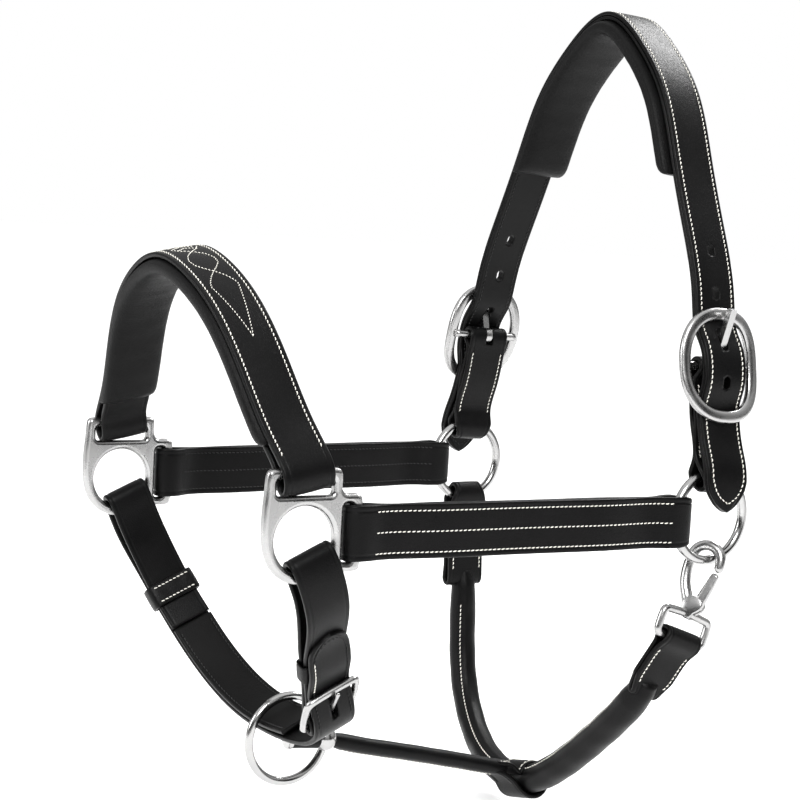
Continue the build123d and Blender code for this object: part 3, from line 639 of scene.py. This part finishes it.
for name, flip in (("far", False), ("near", True)):
    o = chape_strap.mesh(f"{name}_chape_leather", "crown", mirror=flip)
    spot = CROWN.at(side(0.5, 0)) * ((1, -1, 1) if flip else (1, 1, 1))
    punch(o, cutter([spot], [(CROWN.y, CROWN.z, CROWN.x)], 12.0, 5.0, 9, box=True))
    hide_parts(f"{name}_chape")
    lines = []
    for start, end in (((-9, -2.2), (-46, -2.3)), ((-9, -4.5), (-46, -4.5))):
        a, b = chape_path.span(CROWN.at(side(*start)), CROWN.at(side(*end)))
        lines += [[(a, v), (b, v)] for v in (-9.9, 9.9)]
    stitches(f"{name}_chape_stitching", "crown", chape_strap, lines, mirror=flip)

# ---------------------------------------------------------------- cheekpieces
leg_x = (-204, -180, -150, -110, -70, -48)
outer_leg = list(zip(leg_x, (100.9, 102.6, 104.5, 106.7, 108.9, 109.8)))
inner_leg = list(zip(leg_x, (97.7, 99.6, 101.6, 103.8, 105.9, 106.6)))
loop_ring = [(-42, 111.9), (-36, 112.4), (-31.6, 111.6), (-28.6, 108), (-31.6, 104.4)]
loop_ring += [(-36, 103.6), (-42, 104.1)]
loop_bar = [(-210, 94.4), (-215, 93.6), (-219.0, 95.0), (-220.0, 98), (-219.0, 101.0)]
loop_bar += [(-215, 102.4), (-210, 102.1)]
cheek_loop = outer_leg + loop_ring + inner_leg[::-1] + loop_bar
cheek_path = Path(LEVEL.at(smooth(cheek_loop, 1.0, closed=True)), LEVEL.z, closed=True)
cheek_half = fold_width(cheek_path, (-28.6, 108, LEVEL.o[2]), HALF, 11.6, 9)
cheek_strap = Strap(cheek_path, cheek_half, -1.4, 1.4, grooves=(2.8,), dome=0.12)


for name, flip in (("far", False), ("near", True)):
    o = cheek_strap.mesh(f"{name}_cheek_leather", "nose", mirror=flip)
    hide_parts(f"{name}_cheekpiece")
    for leg, front_y, back_y, yarn in (
        ("outer", 100.9, 110.6, THREAD),
        ("inner", 97.3, 105.6, BLACK),
    ):
        a, b = cheek_path.span((-207, front_y, LEVEL.o[2]), (-41, back_y, LEVEL.o[2]))
        rows = [[(a, v), (b, v)] for v in (-9.6, 0.0, 9.6)]
        title = f"{name}_cheek_{leg}_stitching"
        stitches(title, "nose", cheek_strap, rows, mirror=flip, yarn=yarn)

# ---------------------------------------------------------------- noseband
# (across, up) in the nose plane from beside the centre, round the square's bar and back up
nose_half = [(27.8, 87.6), (52.8, 70.5), (71.5, 45.8), (88, 20), (98.2, 8), (102.1, 1.5)]
nose_half += [(101.6, -4.2), (98, -7.2), (94.4, -4.2), (93.6, 2), (88.2, 11), (80.2, 22)]
nose_pts = [(-y, h) for y, h in reversed(nose_half)] + [(0, 94.7)] + nose_half
nose_path = Path(NOSE.at(smooth(nose_pts, 1.3)), NOSE.z)
NL = nose_path.length
nose_strap = Strap(nose_path, HALF, -1.3, 1.3, grooves=(2.7,), dome=0.3)
o = nose_strap.mesh("noseband_leather", "nose")
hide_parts("noseband_strap")
mid = NL / 2
end_s = nose_path.nearest(NOSE.at((97.2, 9.6)))
half_l = end_s - mid
lines = [[(mid - half_l, v), (mid + half_l, v)] for v in (-10, 10)]
fancy = [(4, -7), (9, -4), (12, 0), (17, 4.6), (22, 6.6), (27, 6), (31, 3), (34, 0)]
fancy += [(38, -3.4), (41.5, -5.6), (45, -6.9), (76, 0)]
stitches("noseband_edge_stitching", "nose", nose_strap, lines, 2.3)
lines = []
for sign in (1, -1):
    for sv in (1, -1):
        lines.append([(mid + sign * s, sv * v) for s, v in fancy])
for shift in (-2.4, 0, 2.4):
    at = mid + shift * 2
    lines.append([(at - 3.4, -5.4), (at, 0), (at - 3.4, 5.4)])
stitches("noseband_fancy_stitching", "nose", nose_strap, lines, 1.7, 0.2)
pad0 = nose_path.nearest(NOSE.at((-90, 15)))
v, f = pad_body(nose_path, pad0, NL - pad0, 15, -1.4, 8.6, 0.14)
o = to_object("noseband_padding", v, f, [PAD], "nose")
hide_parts("noseband_pad")

# ---------------------------------------------------------------- chin straps
# from the near tail through the buckle, under the jaw and round the far square's eye
chin_pts = [near(64, 5.4), near(52, 4.2), near(39.5, 4.7), near(25, 2.6), near(12, 5.4)]
chin_pts += [near(0, 6.1), near(-7, 3), (-38, 117), (0, 120.5), (20, 119.2), (42, 112)]
chin_pts += [(66, 92.5), (82.5, 68), (93.6, 47), (101.6, 28), (102.3, 18), (102.2, 11.2)]
chin_pts += [(101, 8.2), (98, 6.9), (95, 8.2), (93.8, 11.2), (93.3, 18), (92.6, 27)]
chin_pts += [(88.2, 46), (82, 62.5), (73.6, 76.5), (71.4, 79.6)]
chin_path = Path(CHIN.at(smooth(chin_pts, 1.0)), CHIN.z)


def chin_width(s):
    marks = [0, 0.4, 1.2, 2.6, 5, 8, 12, 17]
    return np.interp(s, marks, [0.8, 2.7, 4.7, 6.6, 8.6, 10.2, 11.2, CHIN_HALF])


chin_strap = Strap(chin_path, chin_width, -1.25, 1.25, grooves=(2.4,), dome=0.1)
o = chin_strap.mesh("chin_leather", "chin", (FACE, LINING, EDGE))
rise = unit(CHIN.x * CHIN_S[0] + CHIN.y * CHIN_S[1])
out3 = unit(CHIN.x * CHIN_N[0] + CHIN.y * CHIN_N[1])
punch(o, cutter([CHIN.at(near(11.5, 5))], [(rise, CHIN.z, out3)], 10, 3.8, 5))
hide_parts("chin_strap")
tip = [(3, 0), (4.2, 3.6), (7, 6.6), (11, 8.4), (15, 9.1)]
lines = [tip, [(s, -v) for s, v in tip] + [(60, -9.1)], [(36, 9.1), (60, 9.1)]]
stitches("chin_stitching", "chin", chin_strap, lines, yarn=BLACK)
stitches("chin_pale_stitching", "chin", chin_strap, [[(15, 9.1), (36, 9.1)]])

back_pts = [(-25, 115.2), (0, 117.6), (18, 116.4), (40, 109.4), (63.5, 90.4), (70.5, 80.9)]
back_path = Path(CHIN.at(smooth(back_pts, 1.2)), CHIN.z)
backing = Strap(back_path, 11.4, -1.25, 1.25, grooves=(2.4,), dome=0.05, both=True)
o = backing.mesh("chin_backing_leather", "chin", (LINING, LINING, EDGE))
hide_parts("chin_strap_backing")
rows = [[(3, v), (back_path.length - 3, v)] for v in (-9.1, 9.1)]
stitches("chin_backing_stitching", "chin", backing, rows, outer=False, yarn=BLACK)

billet = [near(2.6, -3.3), near(8, -2.9), near(14, -2.75), near(40, -2.7), near(50, -3.4)]
billet += [(-90.6, 34), (-93.4, 24), (-93.8, 11.2), (-95, 8.2), (-98, 6.9), (-101, 8.2)]
billet += [(-102.2, 11.2), (-102.2, 24), (-99.6, 34), near(50, 0.9), near(40, -0.15)]
billet += [near(14, -0.1), near(8, 0.1), near(2.8, 2.6), near(0, 3.3), near(-2.6, 2.0)]
billet += [near(-3.3, 0), near(-2.4, -2.3), near(0, -3.4)]
billet_path = Path(CHIN.at(smooth(billet, 0.9, closed=True)), CHIN.z, closed=True)
billet_strap = Strap(billet_path, CHIN_HALF, -1.15, 1.15, grooves=(2.4,), dome=0.05, both=True)
o = billet_strap.mesh("near_billet_leather", "chin")
punch(o, cutter([CHIN.at(near(4, 0))], [(rise, CHIN.z, out3)], 20, 4.6, 8, box=True))
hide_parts("near_chin_billet")


def band_loop(plane, w, h, r, width, thick, name, node, rows):
    """A keeper: a closed strap round a rounded rectangle in a plane (centre line size)."""
    pts = []
    for cx, cy, a0 in ((1, 1, 0), (-1, 1, 90), (-1, -1, 180), (1, -1, 270)):
        for a in (0, 30, 60, 90):
            ang = math.radians(a0 + a)
            corner = (cx * (w / 2 - r), cy * (h / 2 - r))
            pts.append((corner[0] + r * math.cos(ang), corner[1] + r * math.sin(ang)))
        if cx * cy > 0:
            edge = cx * (w / 2 - r)
            pts += [(edge * (1 - k / 2), cy * h / 2) for k in (1, 2, 3)]
    ring = plane.at(smooth(pts, 0.8, closed=True))
    path = Path(ring, plane.z, closed=True)
    if ((path.p - plane.o) * path.n).sum() < 0:
        path = Path(ring[::-1], plane.z, closed=True)
    strap = Strap(path, width / 2, -thick / 2, thick / 2, dome=0.12)
    obj = strap.mesh(name, "chin")
    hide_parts(node)
    if rows:
        lines = []
        for sign in (1, -1):
            ends = [plane.at((x, sign * h / 2)) for x in (2.4 - w / 2, w / 2 - 2.4)]
            a, b = path.span(*ends)
            lines += [[(a, v), (b, v)] for v in rows]
        stitches(name + "_stitching", "chin", strap, lines, 2.2, 0.26)


keeper_y = CHIN.x * -0.5 + CHIN.y * 0.866
FAR_KEEP = Flat(CHIN.at((82.9, 64.2)), CHIN.z, np.cross(unit(keeper_y), CHIN.z))
rows = (-3.9, 3.9)
band_loop(FAR_KEEP, 25.4, 9.3, 2.0, 12, 1.8, "far_keeper_leather", "far_chin_keeper", rows)
NEAR_KEEP = Flat(CHIN.at(near(39.5, -1.45)), np.cross(out3, rise), out3)
band_loop(NEAR_KEEP, 24.9, 6.6, 1.6, 11, 1.1, "near_keeper_leather", "near_chin_keeper", ())

# ---------------------------------------------------------------- connector
ring_c = np.array([-242 + 132 * tilt(24)[0], 0, -246.5 - 132 * tilt(24)[1]])
ball = ring_c + 22 * np.array([math.cos(math.radians(-6)), 0, math.sin(math.radians(-6))])


def rolled(seam_angle, height, spread=0.16):
    """Round tube with a stitched seam fin at one angle."""

    def shape(a, s):
        d = np.angle(np.exp(1j * (a - seam_angle)))
        return 1 + height * np.exp(-((d / spread) ** 2)) + 0.012 * np.sin(s * 0.31 + 2 * a)

    return shape


con_pts = [ball + (4, 0, -0.6), (-150, 0.15, -373.6), (-124, 0.5, -379.8), (-90, 1.4, -388)]
con_pts += [(-72, 2.2, -392.6), (-57, 2.9, -396.4), (-50, 3.4, -398)]
con_path = Path(smooth(con_pts, 1.2), (0, 1, 0))
seam = rolled(math.pi / 2, 0.10)
v, f = tube(con_path, lambda s: np.interp(s, [0, 6, 12], [3.4, 4.2, 4.25]), 28, seam)
o = to_object("connector_roll", v, f, [FACE], "connector")
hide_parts("connector_strap")


class TubeLine:
    """Stitch carrier on a tube: s along, v is the angle in degrees."""

    def __init__(self, path, radius):
        self.path, self.r = path, radius

    def surf(self, s, v, outer=True):
        p, t, w, n = self.path.frame(s)
        a = np.radians(v)[..., None]
        d = w * np.cos(a) + n * np.sin(a)
        return p + d * self.r, d


rows = [[(7, 108), (con_path.length - 8, 108)]]
stitches("connector_roll_stitching", "connector", TubeLine(con_path, 4.35), rows, 2.5, 0.26)

roll_pts = [(-12.5, 106, -309), (-12, 105, -330), (-13, 102, -352), (-15.5, 93, -377)]
roll_pts += [(-22, 71, -397), (-31, 36, -407.6), (-35.2, 3, -406), (-37.3, -30, -389.6)]
roll_pts += [(-38.4, -60, -366.2), (-39.0, -84, -344.5), (-38.0, -99, -327)]
roll_path = Path(smooth(roll_pts, 1.4), (1, 0, 0))
RL = roll_path.length


def roll_radius(s):
    return np.interp(s, [0, 8, 20, RL - 16, RL - 6, RL], [4.4, 6.8, 7.7, 7.7, 6.8, 5])


v, f = tube(roll_path, roll_radius, 36, rolled(math.radians(-108), 0.06, 0.12))
o = to_object("throat_roll_leather", v, f, [FACE], "throat")
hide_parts("throat_roll")
rows = [[(20, -134), (RL - 16, -134)]]
stitches("throat_roll_stitching", "throat", TubeLine(roll_path, 7.75), rows, 2.6)

wrap_at = roll_path.nearest((-35.5, 4.3, -406.6))
p, t, w, n = roll_path.frame(wrap_at)
WRAP = Flat(p, (1, 0, 0), np.cross((1, 0, 0), t))
if WRAP.y[2] < 0:
    WRAP = Flat(p, (1, 0, 0), -WRAP.y)
wrap = [(9.2 * math.cos(a), 9.2 * math.sin(a)) for a in np.radians(range(-110, 151, 20))]
upper = [(-12, 8.4), (-18, 10.4), (-25.5, 11.3), (-28, 9.6)]
lower = [(-25.5, 8.0), (-18, 5.2), (-11, -1.0), (-8.4, -5.0)]
wrap_ring = WRAP.at(smooth(wrap + upper + lower, 0.9, closed=True))
wrap_path = Path(wrap_ring, unit(WRAP.z), closed=True)
if ((wrap_path.p - WRAP.o) * wrap_path.n).sum() < 0:
    wrap_path = Path(wrap_ring[::-1], unit(WRAP.z), closed=True)


def wrap_half(s):
    p = wrap_path.frame(s)[0]
    x = (p - WRAP.o) @ WRAP.x
    return np.interp(x, [-29, -20, -8, 4], [4.2, 7.6, 10.8, 11.0])


wrap_strap = Strap(wrap_path, wrap_half, -1.1, 1.1, grooves=(1.9,), dome=0.1)
o = wrap_strap.mesh("connector_wrap", "connector")
reach = sorted(wrap_path.nearest(WRAP.at(at)) for at in ((-26, 11.3), (9.2, 0)))
marks = np.linspace(*reach, 14)
inset = wrap_half(marks) - 2.2
rows = [list(zip(marks, inset)), list(zip(marks, -inset))]
stitches("connector_wrap_stitching", "connector", wrap_strap, rows, 2.3, 0.26)

# ---------------------------------------------------------------- throat tabs
FAR_TAB = Flat((-13.2, 0, 0), (0, 1, 0), (0, 0, 1))
tab = [(110.6, -275), (110.2, -290), (108.4, -309), (107.4, -316), (105.2, -316.6)]
tab += [(103.4, -309), (105.2, -290), (105.6, -275), (104.2, -268), (103.6, -262.5)]
tab += [(105.6, -258.4), (108, -257.4), (110.4, -258.4), (112.4, -262.5), (111.8, -268)]
tab_path = Path(FAR_TAB.at(smooth(tab, 0.8, closed=True)), FAR_TAB.z, closed=True)
far_half = fold_width(tab_path, FAR_TAB.at((108, -257.4)), 11.9, 9.0, 10)
tab_strap = Strap(tab_path, far_half, -1.2, 1.2, grooves=(2.4,), dome=0.1)
o = tab_strap.mesh("far_tab_leather", "throat")
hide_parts("far_throat_tab")
lines = []
for y0, y1 in ((110.6, 108.4), (105.6, 103.4)):
    a, b = tab_path.span(FAR_TAB.at((y0, -275)), FAR_TAB.at((y1, -308)))
    lines += [[(a, v), (b, v)] for v in (-9.3, 9.3)]
stitches("far_tab_stitching", "throat", tab_strap, lines)

sl, cl = tilt(20)
down = np.array([-sl, 0, -cl])
across = np.array([cl, 0, -sl])
snap_at = np.array([-14, -108, -265])
eye_bar = snap_at + 42 * down
tab_s, tab_c = tilt(22)
tw = unit(down * tab_c + np.array([0, 1, 0]) * tab_s)
TAB = Flat(eye_bar, tw, np.cross(across, tw))
tab = [(4, 2.3), (8, 1.7), (20, 1.5), (30, 1.6), (34, 0.8), (34, -0.8), (30, -1.6), (20, -1.5)]
tab += [(8, -1.7), (4, -3.0), (0, -4.1), (-2.9, -2.9), (-4.1, 0), (-2.9, 2.9), (0, 4.1)]
ntab_path = Path(TAB.at(smooth(tab, 0.8, closed=True)), across, closed=True)


def tab_half(s):
    p = ntab_path.frame(s)[0]
    return np.interp((p - TAB.o) @ TAB.x, [-4, 2, 24, 31, 34], [11.4, 12, 12, 9.6, 8.4])


ntab_strap = Strap(ntab_path, tab_half, -1.1, 1.1, grooves=(2.4,), dome=0.1)
o = ntab_strap.mesh("near_tab_leather", "throat")
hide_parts("near_throat_tab")
lines = []
for face in (1, -1):
    marks = np.linspace(*ntab_path.span(TAB.at((7, 1.8 * face)), TAB.at((28, 1.6 * face))), 8)
    inset = tab_half(marks) - 2.6
    lines += [list(zip(marks, inset)), list(zip(marks, -inset))]
stitches("near_tab_stitching", "throat", ntab_strap, lines)

# ---------------------------------------------------------------- buckles and squares
def buckle(name, node, flip):
    """Oval frame of rounded flat wire, dished up at both ends, with its centre bar."""
    half_w, half_h = 21.9, 25.9

    def oval(c, size, power):
        return size * np.sign(c) * np.abs(c) ** power

    a = np.linspace(0, 2 * math.pi, 120, endpoint=False)
    x = oval(np.cos(a), half_w, 2 / 2.45)
    s = oval(np.sin(a), half_h, 2 / 2.45)
    lift = 2.9 + 3.5 * (s / half_h) ** 2
    base = CROWN.at(side(0, 0))
    u = CROWN.at(side(1, 0)) - base
    o3 = CROWN.at(side(0, 1)) - base
    p = base + x[:, None] * CROWN.z + s[:, None] * u + lift[:, None] * o3
    path = Path(p, o3, closed=True)
    k = np.linspace(0, 2 * math.pi, 20, endpoint=False)
    cx, cy = oval(np.cos(k), 2.05, 0.75), oval(np.sin(k), 3.1, 0.75)
    verts = path.p[:, None] + path.w[:, None] * cx[None, :, None]
    verts = (verts + path.n[:, None] * cy[None, :, None]).reshape(-1, 3)
    marks = np.linspace(-21, 21, 15)
    bar = Path([base + CROWN.z * m + o3 * (0.9 * (abs(m) / 21) ** 3) for m in marks], u)
    v, f = merge([(verts, sweep_faces(len(p), 20, True)), tube(bar, 2.2, 20)])
    obj = to_object(name, v, f, [STEEL], "crown", mirror=flip)
    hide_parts(node)


buckle("far_buckle", "far_buckle_frame", False)
buckle("near_buckle", "near_buckle_frame", True)


def plate(name, node, outline, openings, y, thick, body):
    """Cast plate in an XZ plane with rounded edges, from an outline and its openings."""
    data = bpy.data.curves.new(name, "CURVE")
    data.dimensions = "2D"
    data.fill_mode = "BOTH"
    for ring in [outline] + openings:
        spline = data.splines.new("POLY")
        spline.points.add(len(ring) - 1)
        for point, (x, z) in zip(spline.points, ring):
            point.co = (x * MM, z * MM, 0, 1)
        spline.use_cyclic_u = True
    bevel = 2.2
    data.bevel_depth = bevel * MM
    data.bevel_resolution = 4
    data.offset = -bevel * MM
    data.extrude = (thick / 2 - bevel) * MM
    obj = add(name + "_curve", data)
    bpy.context.view_layer.update()
    graph = bpy.context.evaluated_depsgraph_get()
    mesh = bpy.data.meshes.new_from_object(obj.evaluated_get(graph))
    bpy.data.objects.remove(obj)
    mesh.transform(Matrix(((1, 0, 0, 0), (0, 0, -1, y * MM), (0, 1, 0, 0), (0, 0, 0, 1))))
    mesh.materials.clear()
    mesh.materials.append(STEEL)
    mesh.polygons.foreach_set("use_smooth", np.ones(len(mesh.polygons), dtype=bool))
    piece = add(name, mesh)
    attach(piece, body)
    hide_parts(node)
    piece.modifiers.new("even_shading", "WEIGHTED_NORMAL")


def rounded(x0, z0, x1, z1, r):
    out = []
    corners = ((x1 - r, z1 - r), (x0 + r, z1 - r), (x0 + r, z0 + r), (x1 - r, z0 + r))
    for k, (cx, cz) in enumerate(corners):
        for a in (0, 18, 36, 54, 72, 90):
            ang = math.radians(90 * k + a)
            out.append((cx + r * math.cos(ang), cz + r * math.sin(ang)))
    return out


def circle(cx, cz, r, count=72):
    angles = [2 * math.pi * k / count for k in range(count)]
    return [(cx + r * math.cos(a), cz + r * math.sin(a)) for a in angles]


outline = [(-261.4, -217.2), (-260.9, -215.8), (-259.6, -214.9), (-257.6, -214.6), (-250, -214.5)]
outline += [(-242.5, -214.5), (-235, -214.5), (-227.4, -214.6), (-225.4, -214.9), (-224.1, -215.8)]
outline += [(-223.6, -217.2), (-223.4, -221), (-223.1, -224.4), (-221.9, -226.0), (-219.4, -226.4)]
outline += [(-215.6, -226.5), (-213.4, -227.4), (-212.5, -229.6), (-212.3, -236), (-212.3, -244)]
outline += [(-212.3, -252), (-212.5, -258.6), (-213.4, -260.9), (-215.8, -261.8), (-220.4, -261.9)]
outline += [(-226.4, -262.0), (-230.4, -263.4), (-235.8, -265.8), (-242, -266.7)]
outline += [(-248.8, -265.5), (-255.2, -261.8), (-260.0, -255.6), (-262.4, -247.5), (-262.9, -239)]
outline += [(-262.6, -231), (-262.0, -224)]
outline = [tuple(p) for p in smooth(outline, 0.8, closed=True)]
inside = [circle(-242, -246.5, 15), rounded(-256.9, -226.8, -228.1, -219.4, 1.8),
          rounded(-222.4, -257.6, -217.8, -230.9, 1.8)]
for name, sign in (("far", 1), ("near", -1)):
    plate(f"{name}_square", f"{name}_halter_square", outline, inside, 98 * sign, 5, "nose")

# ---------------------------------------------------------------- chin buckle and snap
def rod(points, radius, across, flatness=0.0, step=0.5):
    """A bar with rounded ends, its radius read evenly along it; flatness widens it in its plane."""
    path = Path(smooth(points, step), across)
    marks = np.linspace(0, path.length, len(radius))

    def size(s):
        base = np.interp(s, marks, radius)
        end = np.clip(np.minimum(s, path.length - s) / base, 0, 1)
        return base * np.sqrt(1 - 0.97 * (1 - end) ** 2)

    return tube(path, size, 24, lambda a, s: 1 + flatness * np.sin(a) ** 2 + 0 * s)


def frame_ring(plane, x0, y0, x1, y1, corner, radius):
    """A bent wire frame: a tube round a rounded rectangle in a plane."""
    ring = plane.at(rounded(x0, y0, x1, y1, corner))
    return tube(Path(smooth(ring, 0.6, closed=True), plane.z, closed=True), radius, 20)


def slab(plane, outline, low, high):
    """A plate with rounded rims between two heights over a plane."""
    pts = smooth(outline, 0.5, closed=True)
    middle = pts.mean(0)
    rows = [(low, 0.86), (low + 0.15, 0.94), (low + 0.5, 1)]
    rows += [(high - 0.5, 1), (high - 0.15, 0.94), (high, 0.86)]
    verts = np.vstack([plane.at(middle + (pts - middle) * k) + plane.z * z for z, k in rows])
    return verts, sweep_faces(len(rows), len(pts))


lean_s, lean_c = tilt(13.3)
buckle_across = np.cross(rise, out3)
FRAME = Flat(CHIN.at(tuple(CHIN_BAR)), buckle_across, rise * lean_c + out3 * lean_s)
v, f = frame_ring(FRAME, -14, 0, 14, 25, 3.4, 1.75)
o = to_object("chin_buckle", v, f, [STEEL], "chin")
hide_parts("chin_buckle_frame")
PIN = Flat(CHIN.at(tuple(CHIN_BAR)), rise, out3)
lean_s, lean_c = tilt(21)
prong = [(lean_c * d, lean_s * d) for d in (3.2, 12, 21, 28.6)]
eye = Path(PIN.at(circle(0, 0, 2.95, 40)), PIN.z, closed=True)
v, f = merge([rod(PIN.at(prong), [1.3, 1.4, 1.3, 1.15], PIN.z), tube(eye, 1.15, 16)])
o = to_object("chin_prong", v, f, [STEEL], "chin_tongue")
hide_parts("chin_buckle_tongue")

snap_side = unit(np.array([0.5, -0.866, 0]) - down * np.dot(down, (0.5, -0.866, 0)))
SNAP = Flat(snap_at, down, snap_side)
EYE = Flat(snap_at, down, (-cl, 0, sl))
shank = [(30.5, 0), (24, -1.3), (19, -4.0), (14, -6.4), (7, -7.8), (0, -7.7)]
shank += [(7.7 * math.cos(a), 7.7 * math.sin(a)) for a in np.radians(range(-120, -241, -30))]
shank += [(0, 7.7), (2.2, 7.8), (4.4, 7.7)]
ear = [(18.9, 2.6), (20.2, 5.6), (23, 6.8), (25.8, 5.8)]
ear += [(28, 3.6), (30.2, 2.4), (30.4, -1.6), (27, -3.2)]
ear += [(22, -3.6), (19.4, -1)]
parts = [
    frame_ring(EYE, 29, -15.5, 42, 15.5, 2.6, 2.1),
    rod(SNAP.at(shank), [3.2, 3.1, 2.9, 2.75, 2.7, 2.7, 2.7, 2.6, 2.4], SNAP.z),
    slab(SNAP, ear, 1.95, 3.4),
    slab(SNAP, ear, -3.4, -1.95),
]
v, f = merge(parts)
o = to_object("snap_hook", v, f, [STEEL], "throat")
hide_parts("snap_body")
lever = SNAP.at([(25.2, 3.0), (18, 4.7), (11, 6.2), (4.9, 7.5)])
v, f = rod(lever, [1.72, 1.65, 1.45, 1.15], SNAP.z, 0.75)
o = to_object("snap_lever", v, f, [STEEL], "gate")
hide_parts("snap_gate")

# ---------------------------------------------------------------- fittings keep their CAD shape
for name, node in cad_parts.items():
    if node.hide_render:
        continue
    node.data.materials.clear()
    polished = name in ("ring_ball", "stub_cap", "chin_ring", "near_jaw_ring", "far_jaw_ring")
    node.data.materials.append(FACE if name == "connector_stub" else BRIGHT if polished else STEEL)

# ---------------------------------------------------------------- stage, light and camera
floor_z = cad_box[0][2] - 0.004


def stage_material(name, value, glow=0.0):
    """Matt grey with no highlight, which may also give off white light."""
    m, nodes, links, bsdf = material(name)
    bsdf.inputs["Base Color"].default_value = (value, value, value, 1)
    bsdf.inputs["Roughness"].default_value = 0.9
    bsdf.inputs["Specular IOR Level"].default_value = 0.0
    if glow:
        bsdf.inputs["Emission Color"].default_value = (1, 1, 1, 1)
        bsdf.inputs["Emission Strength"].default_value = glow
    return m


def card(name, centre, size_x, size_y, rot, mat):
    mesh = bpy.data.meshes.new(name)
    x, y = size_x / 2, size_y / 2
    mesh.from_pydata([(-x, -y, 0), (x, -y, 0), (x, y, 0), (-x, y, 0)], [], [(0, 1, 2, 3)])
    mesh.materials.append(mat)
    obj = add(name, mesh)
    obj.location = centre
    obj.rotation_euler = rot
    return obj


card("floor", (0, 0, floor_z), 60, 60, (0, 0, 0), stage_material("pale_floor", 0.97, 0.3))
steps = 48  # sides of the white wall round the stage, with its roof, in metres
wall_radius, wall_foot, wall_top = 29, -1.5, 28
ring = circle(0, 0, wall_radius, steps)
verts = [(x, y, z) for z in (wall_foot, wall_top) for x, y in ring]
faces = [(k, (k + 1) % steps, steps + (k + 1) % steps, steps + k) for k in range(steps)]
faces.append(tuple(range(steps, 2 * steps)))
mesh = bpy.data.meshes.new("backdrop")
mesh.from_pydata(verts, [], faces)
mesh.materials.append(stage_material("white_backdrop", 0.0, 1.0))
backdrop = add("backdrop", mesh)
backdrop.visible_glossy = False
backdrop.visible_diffuse = False
backdrop.visible_shadow = False
backdrop.visible_transmission = False

world = bpy.data.worlds.new("studio")
bpy.context.scene.world = world
world.use_nodes = True
nodes, links = world.node_tree.nodes, world.node_tree.links
way = put(nodes, "ShaderNodeTexCoord")
split = put(nodes, "ShaderNodeSeparateXYZ")
links.new(way.outputs["Generated"], split.inputs["Vector"])
height = put(nodes, "ShaderNodeMapRange", From_Min=-0.35)
links.new(split.outputs["Z"], height.inputs["Value"])
sky = put(nodes, "ShaderNodeValToRGB")
sky.color_ramp.elements[0].color = (0.1, 0.1, 0.1, 1)
for at, value in ((0.27, 0.14), (0.4, 0.3), (0.62, 0.62)):
    sky.color_ramp.elements.new(at).color = (value, value, value, 1)
links.new(height.outputs["Result"], sky.inputs["Fac"])
links.new(sky.outputs["Color"], nodes["Background"].inputs["Color"])
nodes["Background"].inputs["Strength"].default_value = 1.25


def area(name, at, target, size, power):
    light = bpy.data.lights.new(name, "AREA")
    light.shape, light.size, light.energy = "DISK", size, power
    obj = add(name, light)
    obj.location = at
    obj.rotation_euler = (Vector(target) - Vector(at)).to_track_quat("-Z", "Y").to_euler()


centre = (-0.13, 0, -0.2)  # the lamps' aim, in metres; their sizes are in metres and powers in watts
area("key", (-0.9, -1.2, 0.9), centre, 0.7, 30)
area("rim", (0.9, 0.3, 0.8), centre, 0.5, 14)
area("fill", (-1.3, 0.4, 0.2), centre, 0.6, 7)
dark = stage_material("dark_flag", 0.02)
for name, at, sx, sy, rot in (
    ("flag_left", (-1.5, -0.9, 0.0), 0.8, 2.2, (0, math.radians(80), math.radians(20))),
    ("flag_right", (0.7, -1.5, -0.1), 0.8, 2.2, (math.radians(80), 0, math.radians(30))),
):
    flag = card(name, at, sx, sy, rot, dark)
    flag.visible_camera = False
    flag.visible_shadow = False
    flag.visible_diffuse = False

camera_data = bpy.data.cameras.new("camera")
camera = add("camera", camera_data)
bpy.context.scene.camera = camera
# solved from the photo: turn in radians, place in metres, lens in millimetres
yaw, pitch, roll = 0.570422571, 0.0919212032, 0.0555045351
cy, sy = math.cos(yaw), math.sin(yaw)
cp, sp = math.cos(pitch), math.sin(pitch)
cr, sr = math.cos(roll), math.sin(roll)
look = (
    Matrix(((cr, -sr, 0), (sr, cr, 0), (0, 0, 1)))
    @ Matrix(((1, 0, 0), (0, cp, -sp), (0, sp, cp)))
    @ Matrix(((1, 0, 0), (0, 0, -1), (0, 1, 0)))
    @ Matrix(((cy, -sy, 0), (sy, cy, 0), (0, 0, 1)))
)
right, below, ahead = (Vector(row) for row in look)
turn = Matrix((right, -below, -ahead)).transposed().to_4x4()
camera.matrix_world = Matrix.Translation((-0.65984, -0.82255, -0.10528)) @ turn
camera_data.sensor_width = 36
camera_data.lens = 86.1525
camera_data.clip_start = 0.01
bpy.context.scene.view_settings.view_transform = "Standard"
